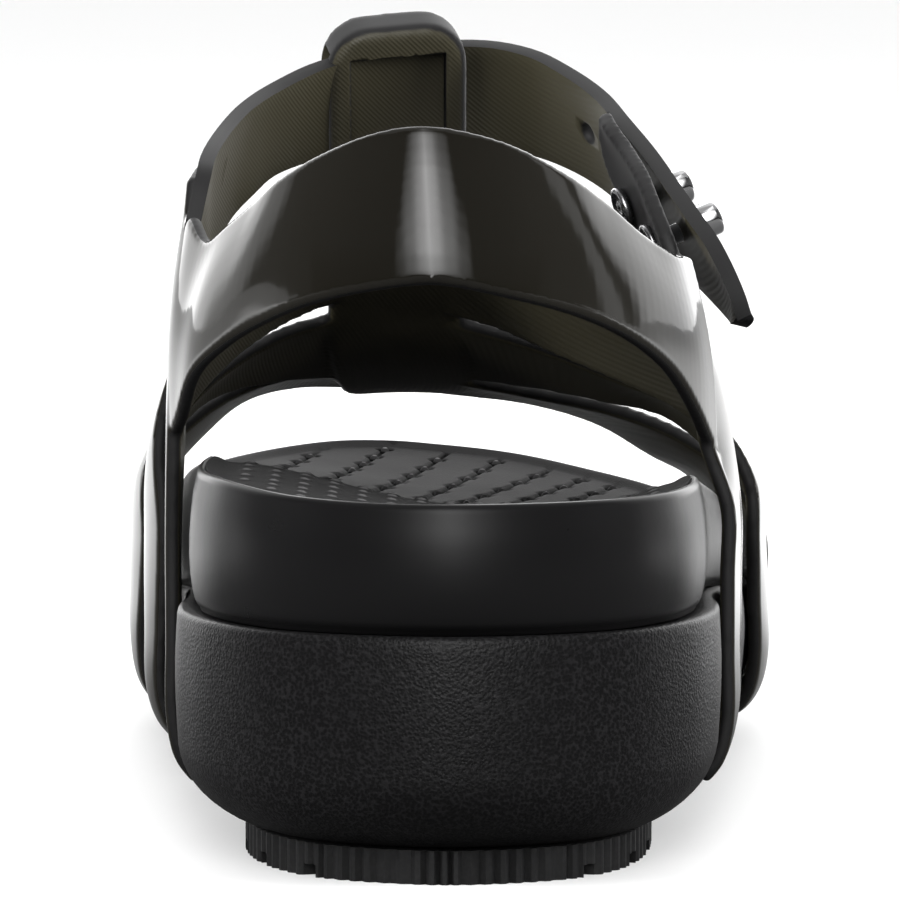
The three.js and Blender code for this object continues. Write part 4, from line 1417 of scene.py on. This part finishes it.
finishes = {
    "cage_plastic": cage_finish(),
    "grained_foam": grained_finish(
        "grained_foam", (0.0036, 0.0035, 0.0037), lowest=0.36, highest=0.44, cells=2000.0, depth=0.45,
        size=0.00018, shine=0.19, speck=1.6),
    "footbed_foam": grained_finish(
        "satin_footbed", (0.0055, 0.0054, 0.0056), lowest=0.26, highest=0.33, cells=900.0, depth=0.04,
        size=0.0001, shine=0.17),
    "footbed_cover": cover_finish(),
    "tread_rubber": grained_finish(
        "tread_rubber", (0.009, 0.009, 0.0092), lowest=0.5, highest=0.62, cells=1800.0, depth=0.25,
        size=0.0001, shine=0.25, speck=0.3),
    "stud_metal": metal_finish("chromed_steel", (0.86, 0.86, 0.87), 0.05, 0.12),
    "disc_metal": metal_finish("dull_steel", (0.42, 0.42, 0.43), 0.2, 0.34),
}

# %% [markdown]
# ## Giving each piece its place and finish
# Each piece rides on the one body of this shoe, stands for the CAD solid that it details, which is hidden,
# and takes its finish from the table of finishes.

# %% Places and finishes
pieces = [
    (outsole, "outsole", "tread_rubber", "tread_rubber"),
    (midsole, "midsole", "grained_foam", "grained_foam"),
    (footbed, "footbed", "footbed_foam", "footbed_foam"),
    (footbed_top, "footbed", "footbed_foam", "footbed_cover"),
    (cage_rear, "upper", "cage_plastic", "cage_plastic"),
    (cage_front, "upper", "cage_plastic", "cage_plastic"),
    (ankle_strap, "upper", "cage_plastic", "cage_plastic"),
]
for name in STUD_PLACES:
    pieces.append((studs[name], "stud_" + name, "stud_metal", "stud_metal"))
    pieces.append((discs[name], "rivet_disc_" + name, "disc_metal", "disc_metal"))
for piece, node, slot, finish_name in pieces:
    piece.data.materials.clear()
    piece.data.materials.append(finishes[finish_name])
    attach(piece, "root")
    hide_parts(node)
print("pieces placed", len(pieces))

# %% [markdown]
# ## What the gloss may mirror
# A polished band mirrors whatever faces it, and the ankle strap's ribbed inner face would stand as a dark
# patch in its brightest part. A photographer would turn or flag that away. Here the strap is hidden from
# glossy rays alone: the camera still sees it, and it still casts its shadow.

# %% Keep the ankle strap out of the reflections
ankle_strap.visible_glossy = False
print("hidden from glossy rays:", ankle_strap.name)

# %% [markdown]
# # Floor, light and camera
# A glossy black object is lit by what it mirrors, and a matte one by lamps. The studio is a ring of pale
# panels with darkness between them, which the gloss mirrors, a soft panel overhead, and a lamp on each side
# that lights the foam and isn't mirrored. The floor is pale to the camera, with a painted shadow that makes
# it a little darker near the shoe. Near the shoe it throws little light back, so that the underside stays
# dark.


# %% Floor
def floor_piece():
    bm = bmesh.new()
    bmesh.ops.create_grid(bm, x_segments=1, y_segments=1, size=8)
    floor = finished("floor", bm)
    paper = Finish("pale_paper")
    paper.set(Roughness=0.9)
    path = paper.tree.nodes.new("ShaderNodeLightPath")
    place = paper.tree.nodes.new("ShaderNodeTexCoord")
    split = paper.tree.nodes.new("ShaderNodeSeparateXYZ")
    paper.link(place.outputs["Object"], split.inputs[0])
    far = mask_between(paper, split.outputs["Y"], 0.0, 0.35)
    shade_lit = blend_colors(paper, (0.06, 0.06, 0.06), (0.85, 0.85, 0.85), far)
    # Painted shadow: to the camera the floor is a little darker near the shoe, which deepens its shadow, and
    # lighter far off.
    seen_with_painted_shadow = blend_colors(paper, (0.8, 0.8, 0.8), (0.96, 0.96, 0.96), far)
    paper.link(blend_colors(paper, shade_lit, seen_with_painted_shadow, path.outputs["Is Camera Ray"]),
               paper.shader.inputs["Base Color"])
    floor.data.materials.append(paper.material)
    return floor


floor = floor_piece()

# %% [markdown]
# ## The ring of panels
# The world's brightness depends on the compass direction. Each stop of the ramp is an angle in degrees, 0
# behind the camera and 180 ahead of it, and a level. The panels fade upwards, and behind the camera
# downwards too. The camera itself sees plain white.

# %% World
world = bpy.data.worlds.new("studio")
bpy.context.scene.world = world
world.use_nodes = True
sky = world.node_tree
place = sky.nodes.new("ShaderNodeTexCoord")
split = sky.nodes.new("ShaderNodeSeparateXYZ")
sky.links.new(place.outputs["Generated"], split.inputs[0])
turn = math_node(sky, "ARCTAN2", split.outputs["X"], math_node(sky, "MULTIPLY", split.outputs["Y"], -1.0))
share = math_node(sky, "MULTIPLY_ADD", turn, 0.5 / math.pi)
share.node.inputs[2].default_value = 0.5
ramp = sky.nodes.new("ShaderNodeValToRGB")
sky.links.new(share, ramp.inputs[0])
PANEL_STRENGTH = 12.0
panel_stops = [
    (-180, 0.28), (-165, 0.28), (-145, 0.17), (-137, 0.17), (-130, 0.08), (-119, 0.07), (-114, 0.012),
    (-100, 0.01), (-29, 0.006), (-15, 0.26), (0, 0.72), (15, 0.26), (29, 0.006), (104, 0.01), (108, 0.06),
    (115, 0.06), (117, 0.01), (121, 0.01), (127, 0.13), (140, 0.16), (165, 0.28), (180, 0.28),
]
elements = ramp.color_ramp.elements
while len(elements) < len(panel_stops):
    elements.new(0.5)
for element, (angle, level) in zip(elements, panel_stops):
    element.position = (angle / 180 + 1) / 2
    element.color = (level, level, level, 1)
path = sky.nodes.new("ShaderNodeLightPath")
seen = sky.nodes.new("ShaderNodeMix")
seen.data_type = "RGBA"
sky.links.new(path.outputs["Is Camera Ray"], seen.inputs[0])


def fade(value, low, high, start=0.0, end=1.0):
    node = sky.nodes.new("ShaderNodeMapRange")
    for label, number in (("From Min", low), ("From Max", high), ("To Min", start), ("To Max", end)):
        node.inputs[label].default_value = number
    sky.links.new(value, node.inputs["Value"])
    return node.outputs[0]


height_fade = fade(split.outputs["Z"], 0.6, 0.85, PANEL_STRENGTH, 0.15 * PANEL_STRENGTH)
raised = math_node(sky, "MAXIMUM", fade(split.outputs["Z"], 0.02, 0.2), fade(split.outputs["Y"], -0.4, -0.1))
lit = sky.nodes.new("ShaderNodeVectorMath")
lit.operation = "SCALE"
sky.links.new(ramp.outputs[0], lit.inputs[0])
sky.links.new(math_node(sky, "MULTIPLY", height_fade, raised), lit.inputs["Scale"])
sky.links.new(lit.outputs[0], seen.inputs[6])
seen.inputs[7].default_value = (1, 1, 1, 1)
sky.links.new(seen.outputs[2], sky.nodes["Background"].inputs["Color"])


# %% Lights
def panel(name, place, target, size, power):
    light = bpy.data.lights.new(name, "AREA")
    light.shape = "RECTANGLE"
    light.size, light.size_y = size
    light.energy = power
    lamp = bpy.data.objects.new(name, light)
    lamp.location = place
    lamp.rotation_euler = (Vector(target) - Vector(place)).to_track_quat("-Z", "Y").to_euler()
    bpy.context.collection.objects.link(lamp)
    return lamp


OVERHEAD_POWER = 6
FILL_POWER = 32
panel("overhead_panel", (0, 0.3, 1.6), (0, 0, 0), (2.4, 2.4), OVERHEAD_POWER)
for side, name in ((-1, "left_fill"), (1, "right_fill")):
    fill = panel(name, (1.15 * side, -0.3, 0.4), (0, 0, 0.06), (0.8, 0.6), FILL_POWER)
    fill.visible_glossy = False

# %% [markdown]
# ## Camera
# The photograph was taken from straight behind the heel, about a metre away and a little above the shoe,
# with a long lens, so that the sides hardly converge.

# %% Camera
EYE = Vector((0.0004, -1.13, 0.1626))
TILT_DOWN = 5.65
SENSOR_WIDTH = 36
LENS = 285.2
camera = bpy.data.cameras.new("camera")
camera.sensor_width = SENSOR_WIDTH
camera.lens = LENS
eye = bpy.data.objects.new("camera", camera)
eye.location = EYE
eye.rotation_euler = (math.radians(90 - TILT_DOWN), 0, 0)
bpy.context.collection.objects.link(eye)
bpy.context.scene.camera = eye
bpy.context.scene.view_settings.view_transform = "Standard"

# %% [markdown]
# ## Clearing up
# Meshes that no object uses any more are removed.

# %% Finish
for clutter in [thing for thing in bpy.data.meshes if not thing.users]:
    bpy.data.meshes.remove(clutter)
